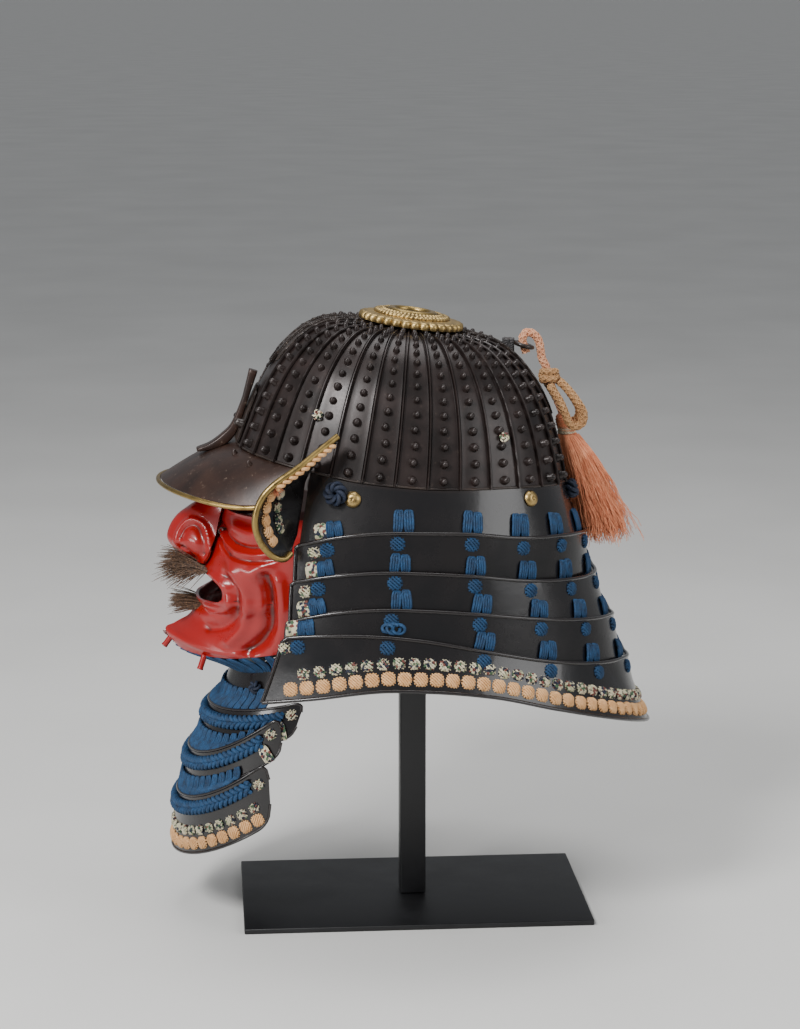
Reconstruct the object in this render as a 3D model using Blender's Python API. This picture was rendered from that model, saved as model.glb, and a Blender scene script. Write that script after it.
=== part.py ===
"""A samurai's ridged helmet (kabuto) with its half mask and throat guard, on a steel stand.

Metres, +Z up. The wearer faces -Y. The origin is the middle of the base plate's underside.
The helmet's own pieces are modelled level, with z = 0 at the bowl's rim, under one tilted empty.
"""
import math

import bmesh
import bpy
import numpy as np
from mathutils import Vector

TAU = 2 * math.pi
GAP = 0.0003             # clearance between pieces that touch
EDGE_GAP = 0.0005        # clearance between a sheet's edge and the round rim along it

# Stand
BASE_LENGTH = 0.254
BASE_WIDTH = 0.1524
BASE_THICK = 0.004
POST_SIDE = 0.019
POST_DROP = 0.024        # from the crown's inside down to the post's top
REST_THICK = 0.006       # the pad under the crown
REST_SIDES = 24
ARM_HEIGHT = 0.2585
ARM_SIDE = 0.008

# Helmet on the stand
TILT = math.radians(7.95)
RIM_CENTRE = (0.0, -0.0097, 0.3332)

# Bowl
BOWL_HALF_LENGTH = 0.1197
BOWL_HALF_WIDTH = 0.102
BOWL_CENTRE_Y = 0.0009
BOWL_HEIGHT = 0.0965
BOWL_WALL = 0.002
BOWL_EXPONENT = 2.35
CROWN_SHIFT = -0.0062    # the crown's centre lies ahead of the rim's
PLATES = 32
WIDE_PLATES = 3          # plates at the front and the rear that lie smooth
RIDGE_HEIGHT = 0.0025
RIDGE_BASE = 0.003
SKIRT_DROP = 0.014       # the bowl's lower band, behind the first lame
SKIRT_INSET = 0.0023
MEAN_RADIUS = (BOWL_HALF_LENGTH + BOWL_HALF_WIDTH) / 2

# Share of the radius and of the height, from the rim to the crown's hole
BOWL_ROWS = [
    (1.0, 0.0), (0.957, 0.19), (0.908, 0.37), (0.84, 0.56), (0.76, 0.715),
    (0.65, 0.86), (0.52, 0.955), (0.36, 0.99), (0.19, 1.0),
]

# Strips on the bowl's smooth plates
STRIP_LIFT = 0.0009
STRIP_THICK = 0.0012
FRONT_STRIP_WIDTH = 0.015
REAR_STRIP_WIDTH = 0.016
CLOUD_WIDTH = 0.044

# Crown ornament
PETALS = 32
PETAL_RADIUS = 0.0375
PETAL_SCALLOP = 0.0016
PETAL_EDGE = 0.0032
PETAL_RISE = 0.003
PETAL_INNER = 0.0235
BEAD_RADIUS = 0.0275
BEAD_THICK = 0.0026
COLLAR_RADIUS = 0.0183
COLLAR_HOLE = 0.0125
COLLAR_HEIGHT = 0.0045
RING_SEGMENTS = 24

# Peak, its brass rim and the crest's prong
PEAK_HALF_WIDTH = 0.0880
PEAK_END_Y = -0.0745
PEAK_LENGTH = 0.0951
PEAK_DROP = 0.0348
PEAK_END_DROP = 0.026
PEAK_THICK = 0.002
PEAK_BULGE = 0.0035
PEAK_SHARE = 0.144       # share of the rim's length that each half spans
PEAK_RIM_RADIUS = 0.0016
PEAK_COLUMNS = 17
PRONG_WIDTH = 0.012
PRONG_THICK = 0.0034
PRONG_HEIGHT = 0.0495
# Places of the prong's line: how far ahead of the bowl's front, and how high, as shares of its height
PRONG_FOOT = (0.5717, 0.3899)
PRONG_RISE = [(0.1879, -0.0444), (0.0828, 0.1111), (0.0162, 0.3232), (-0.0646, 0.6667), (-0.1596, 1)]

# The rim isn't level: its height above z = 0 at angles from the rear, as shares of its sway
RIM_SWAY = 0.0045
RIM_WAVE = [
    (0, 0.4444), (20, 0.8889), (40, 1), (60, 0.6667), (75, 0), (90, -0.6667), (105, -0.8889),
    (122, -0.5556), (150, -0.2222), (180, -0.2222),
]

# Neck guard: each edge's plan as shares of how much longer, wider and further back the hem is than
# the bowl, and the angle where it ends in front
NECK_LONGER = 0.0779     # how far the hem's plan lies beyond the bowl's at the rear
NECK_WIDER = 0.050       # and at the sides
NECK_SHIFT = 0.0091      # and how far its centre lies behind the bowl's
NECK_DROP = 0.168
LAME_PLANS = [
    ("rim", 0.0103, 0.03, 0, 122),
    ("second", 0.2298, 0.29, 0.2308, 120),
    ("third", 0.3633, 0.44, 0.3407, 118),
    ("fourth", 0.5623, 0.6, 0.5604, 115.5),
    ("fifth", 0.7356, 0.76, 0.7802, 114.5),
    ("hem", 1, 1, 1, 115),
]

# The same edges' heights at angles from the rear, as shares of the neck guard's drop
LAME_STOPS = (0, 20, 40, 60, 75, 90, 105, 118)
LAME_HEIGHTS = {
    "second": (-0.2083, -0.1726, -0.1637, -0.1696, -0.1667, -0.1905, -0.2381, -0.3036),
    "third": (-0.3631, -0.3452, -0.3393, -0.3369, -0.331, -0.347, -0.3958, -0.4583),
    "fourth": (-0.5536, -0.5119, -0.494, -0.4821, -0.4762, -0.4911, -0.5476, -0.631),
    "fifth": (-0.7262, -0.6845, -0.6667, -0.6429, -0.6167, -0.5988, -0.631, -0.6845),
    "hem": (-1, -0.9405, -0.881, -0.8244, -0.7857, -0.7976, -0.881, -0.9464),
}
LAME_THICK = 0.002
LAME_GAP = 0.0024        # between a lame and the next one's inner face
LAME_OVERLAP = 0.006
LAME_STEPS = 26
LAME_EXPONENT = 2.3
HEM_FLARE = 0.35

# Laces of the neck guard, as angles from the rear
LACE_ANGLES = {"rear": 0, "e": 18, "d": 39.5, "c": 57.5, "b": 75, "a": 92.5, "front": 110.5}
LACE_WIDTH = 0.0150
LACE_THICK = 0.0014
LACE_LIFT = 0.0006
LACE_TOP = 0.016         # above the second lame's edge
LACE_TAIL = 0.0105       # below the fifth lame's edge

# Studs on the first lame: angle from the rear and distance down from its top edge
STUD_PLACES = {"front": (106, 0.0115), "rear": (49, 0.0075)}
STUD_RADIUS = 0.0055

# Turn-backs: the brass rim's route, and the horn of the root above the first lame, as shares of the
# bowl's half width and half length and of the turn-back's drop below the bowl's rim
TURN_DROP = 0.0594
TURN_RIM = [
    (1.0294, -0.4553, 0.4461), (1.098, -0.5514, 0.2694), (1.1667, -0.65, 0.0859),
    (1.2157, -0.7778, -0.1364), (1.2353, -0.8404, -0.3249), (1.2353, -0.8571, -0.5673),
    (1.2157, -0.8162, -0.7946), (1.1667, -0.7393, -0.9562), (1.1176, -0.6683, -1),
    (1.0686, -0.6307, -0.9428),
]
TURN_HORN = [(1.0196, -0.4595, 0.3956), (0.9804, -0.4971, 0.2525), (0.9363, -0.5388, 0.1178)]
TURN_SEAT = (0.12, 0.35, 0.6, 0.75, 0.85)
TURN_STEP = math.radians(1.6)
TURN_THICK = 0.002
TURN_RIM_RADIUS = 0.0021

# Half mask: for each height, as a share of the mask's height above the chin, the front's place as a
# share of its depth, the roundness of the plan and the half width as a share of the widest
MASK_BACK_Y = -0.070
MASK_CHIN = 0.2045
MASK_HEIGHT = 0.0985
MASK_DEPTH = 0.110
MASK_HALF_WIDTH = 0.078
MASK_WALL = 0.0022
MASK_SHARES = [
    (1, 0.6091, 2.5, 0.9487), (0.8985, 0.6364, 2.4, 0.9744), (0.7665, 0.6727, 2.3, 1),
    (0.6244, 0.7273, 2.2, 1), (0.4924, 0.7818, 2.1, 0.9872), (0.4213, 0.7591, 2.1, 0.9744),
    (0.3299, 0.8091, 2.0, 0.9615), (0.2589, 0.7636, 1.9, 0.9487), (0.1675, 0.8182, 1.7, 0.9359),
    (0.1066, 0.9273, 1.5, 0.9231), (0.0508, 1, 1.4, 0.9103), (0, 0.9682, 1.4, 0.8974),
]
MASK_ROWS = [
    (MASK_CHIN + MASK_HEIGHT * up, MASK_BACK_Y - MASK_DEPTH * deep, roundness, MASK_HALF_WIDTH * wide)
    for up, deep, roundness, wide in MASK_SHARES
]
MASK_COLUMNS = 17
JAW_TOP = MASK_CHIN + 0.0205  # below this height the jaw's rows rise towards the cheeks
JAW_RISE = 0.026
JAW_SAG = 0.012
MASK_MOUTH_ROWS = {4: 2, 5: 3}  # rows that the mouth is open in, and columns each side
MASK_NOSE_ROWS = 3       # rows from the top that the nose covers
NOSE_HALF_WIDTH = 0.026
NOSE_ROUNDNESS = 1.8
# The nose's line: shares of the mask's height, of its depth and of the nose's half width
NOSE_SHARES = [
    (1.0355, 0.7455, 0.76), (0.9695, 0.8455, 0.78), (0.9086, 0.9182, 0.84), (0.8274, 0.9682, 0.92),
    (0.736, 0.9864, 1.0), (0.665, 0.9455, 1.0), (0.5838, 0.8364, 0.88),
]
NOSE_LINE = [(MASK_BACK_Y - MASK_DEPTH * deep, MASK_CHIN + MASK_HEIGHT * up, wide) for up, deep, wide in NOSE_SHARES]

# Pegs under the chin: degrees from the front, lean forwards, place as a share of the wall's depth
PEG_PLACES = {
    "mask_drain": (0, 0.75, 0.5),
    "mask_peg_left": (33, 0.35, 0.1),
    "mask_peg_right": (-33, 0.35, 0.1),
}
PEG_RADIUS = 0.0030
PEG_LENGTH = 0.013
PEG_SINK = 0.0009        # the rim above a peg dips this far below its own line

# Throat guard: for each lame the top's front, its end and its half width, then the bottom's; a place is
# a share of the reach ahead of the stand's post and of the drop below the top
THROAT_REACH = 0.1785
THROAT_TOP = MASK_CHIN - 0.005
THROAT_DROP = 0.1525
THROAT_HALF_WIDTH = 0.081
THROAT_SHARES = [
    ("throat_lame_a", (0.7339, 0.0754), (0.4146, 0), 0.7407, (0.7843, 0.2328), (0.4482, 0.1541), 0.7901),
    ("throat_lame_b", (0.8403, 0.2852), (0.4594, 0.1869), 0.8765, (0.8796, 0.4426), (0.5098, 0.3508), 0.9136),
    ("throat_lame_c", (0.9244, 0.5082), (0.5602, 0.2459), 0.9383, (0.9524, 0.6787), (0.5546, 0.423), 0.963),
    ("throat_lame_d", (0.9748, 0.7246), (0.6106, 0.4557), 0.9753, (1, 1), (0.5994, 0.7475), 1),
]
THROAT_THICK = 0.0016
THROAT_STEPS = 14
THROAT_EXPONENT = 1.9
THROAT_RISE = 1.2        # how the lames' ends rise: 1 is even, more is later
THROAT_LACE_THICK = 0.0014
THROAT_LIFT = 0.0009     # between a lame's face and the laces on it
THROAT_STEP = 0.004      # height over which a lacing steps out to the next lame
THROAT_TRIMS = (1, 3, 3)  # columns at each end that a lacing leaves bare

# Rear ring and its lug, in the stand's frame
RING_CENTRE = (0.0, 0.0805, 0.4150)
RING_RADIUS = 0.0066
RING_WIRE = 0.0016
RING_LEAN = math.radians(-17)
LUG_WIDTH = 0.007
LUG_LENGTH = 0.006

# Cord of the bow: its routes, chosen by hand, in the stand's frame
CORD_DIAMETER = 0.0062
CORD_ROUTE = [
    (0.0, 0.0825, 0.4095), (0.0, 0.0808, 0.4145), (0.0, 0.0797, 0.4195), (0.0, 0.0822, 0.4238),
    (0.0, 0.0872, 0.4232), (0.0, 0.0914, 0.4183), (0.0, 0.0930, 0.4110), (0.0, 0.0940, 0.4050),
    (0.0, 0.0963, 0.4006),
]
LOOP_ROUTE = [
    (0.0047, 0.1063, 0.3883), (0.0064, 0.1090, 0.3866), (0.0095, 0.1145, 0.3805), (0.0112, 0.1195, 0.3735),
    (0.0117, 0.1232, 0.3665), (0.0117, 0.1225, 0.3598), (0.0117, 0.1172, 0.3567), (0.0117, 0.1125, 0.3600),
    (0.0117, 0.1098, 0.3665), (0.0112, 0.1065, 0.3740), (0.0098, 0.1025, 0.3808), (0.0084, 0.1000, 0.3848),
    (0.0072, 0.0993, 0.3859),
]
KNOT_CENTRE = (0.0, 0.0993, 0.3923)
KNOT_SIZE = (0.0090, 0.0082, 0.0082)

# Tassel with its short cord: for each ring its centre behind and below the first one's, as shares of
# the length, and its half width along y and x, as shares of the widest
TASSEL_TOP = (0.1016, 0.3832)
TASSEL_LENGTH = 0.1132
TASSEL_HALF_WIDTH = 0.014
TASSEL_SHARES = [
    (0, 0, 0.1857, 0.1857), (0.0256, 0.0459, 0.1857, 0.1857), (0.0442, 0.0989, 0.1929, 0.1929),
    (0.0636, 0.1387, 0.2286, 0.2286), (0.0707, 0.1625, 0.4286, 0.4429), (0.0777, 0.2094, 0.4857, 0.5143),
    (0.0848, 0.2535, 0.4, 0.4429), (0.114, 0.2977, 0.5929, 0.6071), (0.1581, 0.417, 0.8, 0.7857),
    (0.2067, 0.5406, 0.9143, 0.9286), (0.2641, 0.6996, 0.9286, 1), (0.326, 0.8763, 0.7143, 0.8571),
    (0.3348, 1, 0.5571, 0.6429),
]
TASSEL_LOCKS = 7
TASSEL_NECK = 7          # the ring that the locks start from
TASSEL_GROOVE = 0.10     # share of the radius that the grooves between locks sink


def add_object(name, mesh, material, parent=None, smooth=True):
    thing = bpy.data.objects.new(name, mesh)
    bpy.context.scene.collection.objects.link(thing)
    thing.data.materials.append(material)
    thing.parent = parent
    if smooth:
        mesh.shade_smooth()
        mesh.set_sharp_from_angle(angle=math.radians(35))
    return thing


def mesh_from(name, points, faces):
    """A mesh with its faces pointing out."""
    mesh = bpy.data.meshes.new(name)
    mesh.from_pydata([tuple(map(float, p)) for p in points], [], faces)
    form = bmesh.new()
    form.from_mesh(mesh)
    bmesh.ops.recalc_face_normals(form, faces=form.faces)
    form.to_mesh(mesh)
    form.free()
    return mesh


def sheet_mesh(name, outer, inner, closed=False, missing=()):
    """A wall between two skins of rows and columns; missing names the cells left open."""
    outer, inner = np.asarray(outer, float), np.asarray(inner, float)
    columns = outer.shape[1]
    rows, inner_rows = outer.shape[0], inner.shape[0]
    points = np.concatenate([outer.reshape(-1, 3), inner.reshape(-1, 3)])
    base = rows * columns
    steps = columns if closed else columns - 1
    holes = set(missing)
    faces = []
    for i in range(rows - 1):
        for j in range(steps):
            if (i, j) not in holes:
                k = (j + 1) % columns
                faces.append((i * columns + j, i * columns + k, (i + 1) * columns + k, (i + 1) * columns + j))
    for i in range(inner_rows - 1):
        for j in range(steps):
            if (i, j) not in holes:
                k = (j + 1) % columns
                a, b = base + i * columns, base + (i + 1) * columns
                faces.append((a + j, b + j, b + k, a + k))
    faces += edge_walls(rows, inner_rows, columns, steps, base, closed, holes)
    return mesh_from(name, points, faces)


def edge_walls(rows, inner_rows, columns, steps, base, closed, holes):
    """The faces that join the two skins along every free edge."""
    def outer_at(i, j):
        return i * columns + j % columns

    def inner_at(i, j):
        row = i if rows == inner_rows else round(i * (inner_rows - 1) / (rows - 1))
        return base + row * columns + j % columns

    def is_open(i, j):
        outside = i < 0 or i >= rows - 1 or (not closed and (j < 0 or j >= steps))
        return outside or (i, j % columns if closed else j) in holes

    walls = []
    for i in range(rows):
        for j in range(steps):
            if is_open(i - 1, j) != is_open(i, j):
                walls.append((outer_at(i, j), outer_at(i, j + 1), inner_at(i, j + 1), inner_at(i, j)))
    if rows == inner_rows:
        for i in range(rows - 1):
            for j in range(columns):
                if is_open(i, j - 1) != is_open(i, j):
                    walls.append((outer_at(i, j), outer_at(i + 1, j), inner_at(i + 1, j), inner_at(i, j)))
    return walls


def turned_mesh(name, profile, segments, wave=0.0, waves=1):
    """A ring turned about Z from a closed profile of (radius, height, share of the wave)."""
    points, faces = [], []
    for s in range(segments):
        angle = TAU * s / segments
        for radius, height, share in profile:
            r = radius + share * wave * math.cos(waves * angle)
            points.append((r * math.sin(angle), r * math.cos(angle), height))
    n = len(profile)
    for s in range(segments):
        for k in range(n):
            a, b = s * n, ((s + 1) % segments) * n
            faces.append((a + k, a + (k + 1) % n, b + (k + 1) % n, b + k))
    return mesh_from(name, points, faces)


def stack_mesh(name, rings):
    """A solid through rings of equally many points, closed flat at both ends."""
    count = len(rings[0])
    points = [p for ring in rings for p in ring]
    faces = [tuple(range(count)), tuple(range(len(points) - count, len(points)))]
    for k in range(len(rings) - 1):
        for s in range(count):
            t = (s + 1) % count
            faces.append((k * count + s, k * count + t, (k + 1) * count + t, (k + 1) * count + s))
    return mesh_from(name, points, faces)


def box_mesh(name, size):
    form = bmesh.new()
    bmesh.ops.create_cube(form, size=1.0)
    bmesh.ops.scale(form, vec=size, verts=form.verts)
    mesh = bpy.data.meshes.new(name)
    form.to_mesh(mesh)
    form.free()
    return mesh


def tube_object(name, route, radius, resolution, material, parent=None):
    """A round bar along a route, with closed ends."""
    curve = bpy.data.curves.new(name, "CURVE")
    curve.dimensions = "3D"
    curve.bevel_depth = radius
    curve.bevel_resolution = resolution
    curve.use_fill_caps = True
    line = curve.splines.new("POLY")
    line.points.add(len(route) - 1)
    for point, place in zip(line.points, route):
        point.co = (*map(float, place), 1.0)
    thing = bpy.data.objects.new(name, curve)
    bpy.context.scene.collection.objects.link(thing)
    curve.materials.append(material)
    thing.parent = parent
    return thing


def smooth_route(points, count):
    """A smooth curve through the points, read at even steps."""
    p = np.asarray(points, float)
    ends = np.concatenate([[2 * p[0] - p[1]], p, [2 * p[-1] - p[-2]]])
    out = []
    for t in np.linspace(0, len(p) - 1, count * 6):
        i = min(int(t), len(p) - 2)
        u = t - i
        a, b, c, d = ends[i:i + 4]
        out.append(0.5 * (2 * b + (c - a) * u + (2 * a - 5 * b + 4 * c - d) * u**2
                          + (3 * b - a - 3 * c + d) * u**3))
    out = np.array(out)
    along = np.concatenate([[0], np.cumsum(np.linalg.norm(np.diff(out, axis=0), axis=1))])
    return np.stack([np.interp(np.linspace(0, along[-1], count), along, out[:, k]) for k in range(3)], 1)


def paint(name, colour, roughness, metallic=0.0):
    """A plain finish; the colour is linear."""
    material = bpy.data.materials.new(name)
    material.use_nodes = True
    shader = material.node_tree.nodes["Principled BSDF"]
    shader.inputs["Base Color"].default_value = (*colour, 1)
    shader.inputs["Roughness"].default_value = roughness
    shader.inputs["Metallic"].default_value = metallic
    return material


def oval(angle, half_width, half_length, exponent):
    """A point of a superellipse; the angle is from +Y towards +X."""
    s, c = math.sin(angle), math.cos(angle)
    return (half_width * math.copysign(abs(s) ** (2 / exponent), s),
            half_length * math.copysign(abs(c) ** (2 / exponent), c))


def rim_angles(shares):
    """Angles from the front that divide the bowl's plan into equal lengths of arc."""
    angles = np.linspace(0, TAU, 1441)
    ring = np.array([oval(a, BOWL_HALF_WIDTH, BOWL_HALF_LENGTH, BOWL_EXPONENT) for a in angles])
    along = np.concatenate([[0], np.cumsum(np.linalg.norm(np.diff(ring, axis=0), axis=1))])
    return np.interp((np.asarray(shares) + 0.5) % 1.0, along / along[-1], angles)


def bowl_points(shares, radius, height, lift=0.0):
    """Points of the bowl at shares of the way round from the front, lifted off its surface."""
    lifts = np.broadcast_to(lift, np.shape(shares))
    points = []
    for angle, out in zip(rim_angles(shares), lifts):
        x, y = oval(angle, (BOWL_HALF_WIDTH + out) * radius, (BOWL_HALF_LENGTH + out) * radius, BOWL_EXPONENT)
        side = out * (1 - radius)
        grown = math.hypot(x, y) or 1.0
        x, y = x * (1 + side * height * 0.6 / grown), y * (1 + side * height * 0.6 / grown)
        rise = rim_height(angle) * (1 - height) ** 2
        points.append((x, y + BOWL_CENTRE_Y + CROWN_SHIFT * height**1.5, (BOWL_HEIGHT + out) * height + rise))
    return points


def bowl_columns(radius):
    """Shares of the way round for one row, with the ridge's lift at each."""
    pitch = 1 / PLATES
    half = 0.5 * RIDGE_BASE * (0.35 + 0.65 * radius) / (TAU * MEAN_RADIUS * radius)
    first = WIDE_PLATES / 2
    ridges = [(first + i) * pitch for i in range(PLATES // 2 - WIDE_PLATES + 1)]
    columns = [(-pitch, 0.0), (-pitch / 2, 0.0), (0.0, 0.0), (pitch / 2, 0.0), (pitch, 0.0)]
    for r in ridges:
        columns += [(r - half, 0.0), (r, 1.0), (r + half, 0.0)]
    columns += [(0.5 + k * pitch / 2, 0.0) for k in (-2, -1, 0, 1, 2)]
    for r in reversed(ridges):
        columns += [(1 - r - half, 0.0), (1 - r, 1.0), (1 - r + half, 0.0)]
    return np.array(columns)


def build_bowl(frame, material):
    outer = []
    for radius, height in BOWL_ROWS:
        columns = bowl_columns(radius)
        rise = RIDGE_HEIGHT * (0.35 + 0.65 * radius)
        outer.append(bowl_points(columns[:, 0], radius, height, columns[:, 1] * rise))
    flat = bowl_columns(1.0)[:, 0]
    for drop in (0.0, SKIRT_DROP):
        ring = bowl_points(flat, 1.0, 0.0, -SKIRT_INSET)
        outer.insert(0, [(x, y, z - drop) for x, y, z in ring])
    inner = [[(x, y, z - SKIRT_DROP) for x, y, z in bowl_points(flat, 1.0, 0.0, -SKIRT_INSET - BOWL_WALL)]]
    for row in (0, 3, 5, 8):
        radius, height = BOWL_ROWS[row]
        inset = -SKIRT_INSET - BOWL_WALL if row == 0 else -BOWL_WALL
        ring = bowl_points(bowl_columns(radius)[:, 0], radius, height, inset)
        inner.append([(x, y, z) for x, y, z in ring])
    add_object("bowl", sheet_mesh("bowl", outer, inner, closed=True), material, frame)


def build_crown(frame, gold):
    crown = (0.0, BOWL_CENTRE_Y + CROWN_SHIFT, 0.0)
    floor = BOWL_HEIGHT + RIDGE_HEIGHT * 0.5 + GAP
    top = floor + PETAL_EDGE + PETAL_RISE
    profile = [(PETAL_RADIUS, floor, 1.0), (PETAL_RADIUS, floor + PETAL_EDGE, 1.0),
               (PETAL_INNER, top, 0.0), (PETAL_INNER, floor, 0.0)]
    mesh = turned_mesh("tehen_petals", profile, 2 * PETALS, PETAL_SCALLOP / 2, PETALS)
    add_object("tehen_petals", mesh, gold, frame).location = crown
    low = top + GAP
    profile = [(BEAD_RADIUS, low, 0), (BEAD_RADIUS - 0.0008, low + BEAD_THICK, 0),
               (COLLAR_RADIUS + GAP, low + BEAD_THICK, 0), (COLLAR_RADIUS + GAP, low, 0)]
    add_object("tehen_beads", turned_mesh("tehen_beads", profile, RING_SEGMENTS), gold, frame).location = crown
    foot = low + COLLAR_HEIGHT
    profile = [(COLLAR_RADIUS, floor, 0), (COLLAR_RADIUS, low + BEAD_THICK, 0), (COLLAR_RADIUS - 0.001, foot, 0),
               (COLLAR_HOLE + 0.001, foot, 0), (COLLAR_HOLE, foot - 0.001, 0), (COLLAR_HOLE, floor, 0)]
    add_object("tehen_collar", turned_mesh("tehen_collar", profile, RING_SEGMENTS), gold, frame).location = crown


def strip_mesh(name, share, width, rows, point=False):
    """A strip that follows the bowl upwards at a share of the way round."""
    outer, inner = [], []
    for k, (radius, height) in enumerate(rows):
        half = width / 2 / (TAU * MEAN_RADIUS * max(radius, 0.3))
        if point and k == 0:
            half *= 0.12
        shares = np.array([share - half, share, share + half])
        outer.append(bowl_points(shares, radius, height, STRIP_LIFT + STRIP_THICK))
        inner.append(bowl_points(shares, radius, height, STRIP_LIFT))
    return sheet_mesh(name, outer, inner)


def between_rows(height):
    """The bowl's radius share at a share of its height."""
    radii, heights = zip(*BOWL_ROWS)
    return float(np.interp(height, heights, radii))


def build_strips(frame, iron):
    upper = [(between_rows(0.52), 0.52)] + [r for r in BOWL_ROWS[3:-1] if r[1] > 0.53]
    mesh = strip_mesh("front_strip", 0.0, FRONT_STRIP_WIDTH, upper, point=True)
    add_object("front_strip", mesh, iron, frame)
    lower = [(between_rows(0.02), 0.02)] + list(BOWL_ROWS[1:2]) + [(between_rows(0.36), 0.36)]
    add_object("front_cloud_plate", strip_mesh("front_cloud_plate", 0.0, CLOUD_WIDTH, lower), iron, frame)
    rear = [(between_rows(0.30), 0.30)] + list(BOWL_ROWS[2:-1])
    add_object("rear_strip", strip_mesh("rear_strip", 0.5, REAR_STRIP_WIDTH, rear, point=True), iron, frame)


def peak_edges():
    """The peak's inner and outer edges as matching rows of points."""
    shares = np.linspace(-PEAK_SHARE, PEAK_SHARE, PEAK_COLUMNS)
    inner = np.array(bowl_points(shares, 1.0, 0.0, -SKIRT_INSET + 3 * GAP))
    turns = np.linspace(-math.pi / 2, math.pi / 2, PEAK_COLUMNS)
    outer = []
    for t in turns:
        drop = PEAK_DROP - (PEAK_DROP - PEAK_END_DROP) * abs(math.sin(t)) ** 20
        outer.append((PEAK_HALF_WIDTH * math.sin(t), PEAK_END_Y - PEAK_LENGTH * math.cos(t), -drop))
    outer = np.array(outer)
    if inner[0, 0] * outer[0, 0] < 0:
        outer = outer[::-1]
    return inner, outer


def beyond_edge(edge, inner_row, distance):
    """The edge moved outwards in its sheet's own plane, square to its run."""
    along = np.gradient(edge, axis=0)
    along /= np.linalg.norm(along, axis=1)[:, None]
    away = edge - inner_row
    away -= along * np.sum(away * along, axis=1)[:, None]
    return edge + away / np.linalg.norm(away, axis=1)[:, None] * distance


def build_peak(frame, russet, gold, iron):
    inner, outer = peak_edges()
    inner[:, 2] -= GAP
    rows = []
    for share in (0.0, 0.35, 0.7, 1.0):
        row = inner * (1 - share) + outer * share
        row[:, 2] += PEAK_BULGE * math.sin(math.pi * share)
        rows.append(row)
    top = np.array(rows)
    under = top - np.array([0, 0, PEAK_THICK])
    add_object("peak", sheet_mesh("peak", top, under), russet, frame)
    middle = top - np.array([0, 0, PEAK_THICK / 2])
    level = np.column_stack([middle[2][:, :2], middle[3][:, 2]])
    rim = beyond_edge(middle[3], level, PEAK_RIM_RADIUS + EDGE_GAP)
    tube_object("peak_rim", rim, PEAK_RIM_RADIUS, 1, gold, frame)
    build_prong(frame, iron)


def build_prong(frame, iron):
    """The plain tongue that carries a crest: its foot lies on the peak and it curves upwards."""
    inner, outer = (edge[PEAK_COLUMNS // 2] for edge in peak_edges())
    slope = (outer[2] - inner[2]) / (outer[1] - inner[1])
    lift = (GAP + PRONG_THICK / 2) * math.hypot(1, slope) + PEAK_BULGE * 0.88
    foot = [-BOWL_HALF_LENGTH - PRONG_HEIGHT * ahead for ahead in PRONG_FOOT]
    line = [(y, inner[2] + slope * (y - inner[1]) + lift) for y in foot]
    line += [(-BOWL_HALF_LENGTH - PRONG_HEIGHT * ahead, PRONG_HEIGHT * up) for ahead, up in PRONG_RISE]
    line = np.array(line)
    along = np.gradient(line, axis=0)
    normal = np.stack([along[:, 1], -along[:, 0]], 1) / np.linalg.norm(along, axis=1)[:, None]
    half = PRONG_WIDTH / 2
    skins = []
    for side in (-0.5, 0.5):
        face = line + normal * PRONG_THICK * side
        skins.append([[(-half, y, z), (half, y, z)] for y, z in face])
    add_object("crest_prong", sheet_mesh("crest_prong", *skins), iron, frame)


def smooth_value(stops, values, place):
    """A smooth curve through a table's values, read at one place."""
    k = min(max(int(np.searchsorted(stops, place)) - 1, 0), len(stops) - 2)
    slopes = np.gradient(np.asarray(values, float), np.asarray(stops, float))
    wide = stops[k + 1] - stops[k]
    u = (place - stops[k]) / wide
    start, end = values[k], values[k + 1]
    return (start * (1 + 2 * u) * (1 - u) ** 2 + end * u**2 * (3 - 2 * u)
            + wide * (slopes[k] * u * (1 - u) ** 2 - slopes[k + 1] * u**2 * (1 - u)))


def rim_height(angle):
    """Height of the bowl's rim at an angle from the rear."""
    stops, values = zip(*RIM_WAVE)
    turn = abs(math.degrees(angle)) % 360
    return RIM_SWAY * smooth_value(stops, values, min(turn, 360 - turn))


def edge_height(level, angle):
    """Height of a lame's edge at an angle from the rear."""
    name = LAME_PLANS[level][0]
    if name == "rim":
        return rim_height(angle) - 2 * GAP
    return NECK_DROP * smooth_value(LAME_STOPS, LAME_HEIGHTS[name], abs(math.degrees(angle)))


def edge_point(level, angle, out=0.0):
    name, longer, wider, shift, end = LAME_PLANS[level]
    half_width, half_length = BOWL_HALF_WIDTH + NECK_WIDER * wider, BOWL_HALF_LENGTH + NECK_LONGER * longer
    x, y = oval(angle, half_width + out, half_length + out, LAME_EXPONENT)
    return (x, y + BOWL_CENTRE_Y + NECK_SHIFT * shift, edge_height(level, angle))


def lame_row(level, angle, share, out=0.0):
    """A point on a lame's outer face; share runs from its top edge to the next lame's."""
    tuck = 0.0 if level == 4 else -(LAME_THICK + LAME_GAP)
    ends = LAME_PLANS[level][4], LAME_PLANS[level + 1][4]
    a = np.array(edge_point(level, angle, out))
    b = np.array(edge_point(level + 1, angle * ends[1] / ends[0], out + tuck))
    p = a + (b - a) * share
    if level == 4:
        p[:2] -= (b - a)[:2] * HEM_FLARE * min(share, 1 - share) / 2
    return p


def lame_shares(level, angle):
    """The rows of a lame: its edges, and the hem's flare on the last one."""
    if level == 4:
        return (0.0, 0.5, 1.0)
    return (0.0, 1.0 + LAME_OVERLAP / (edge_height(level, angle) - edge_height(level + 1, angle)))


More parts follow.
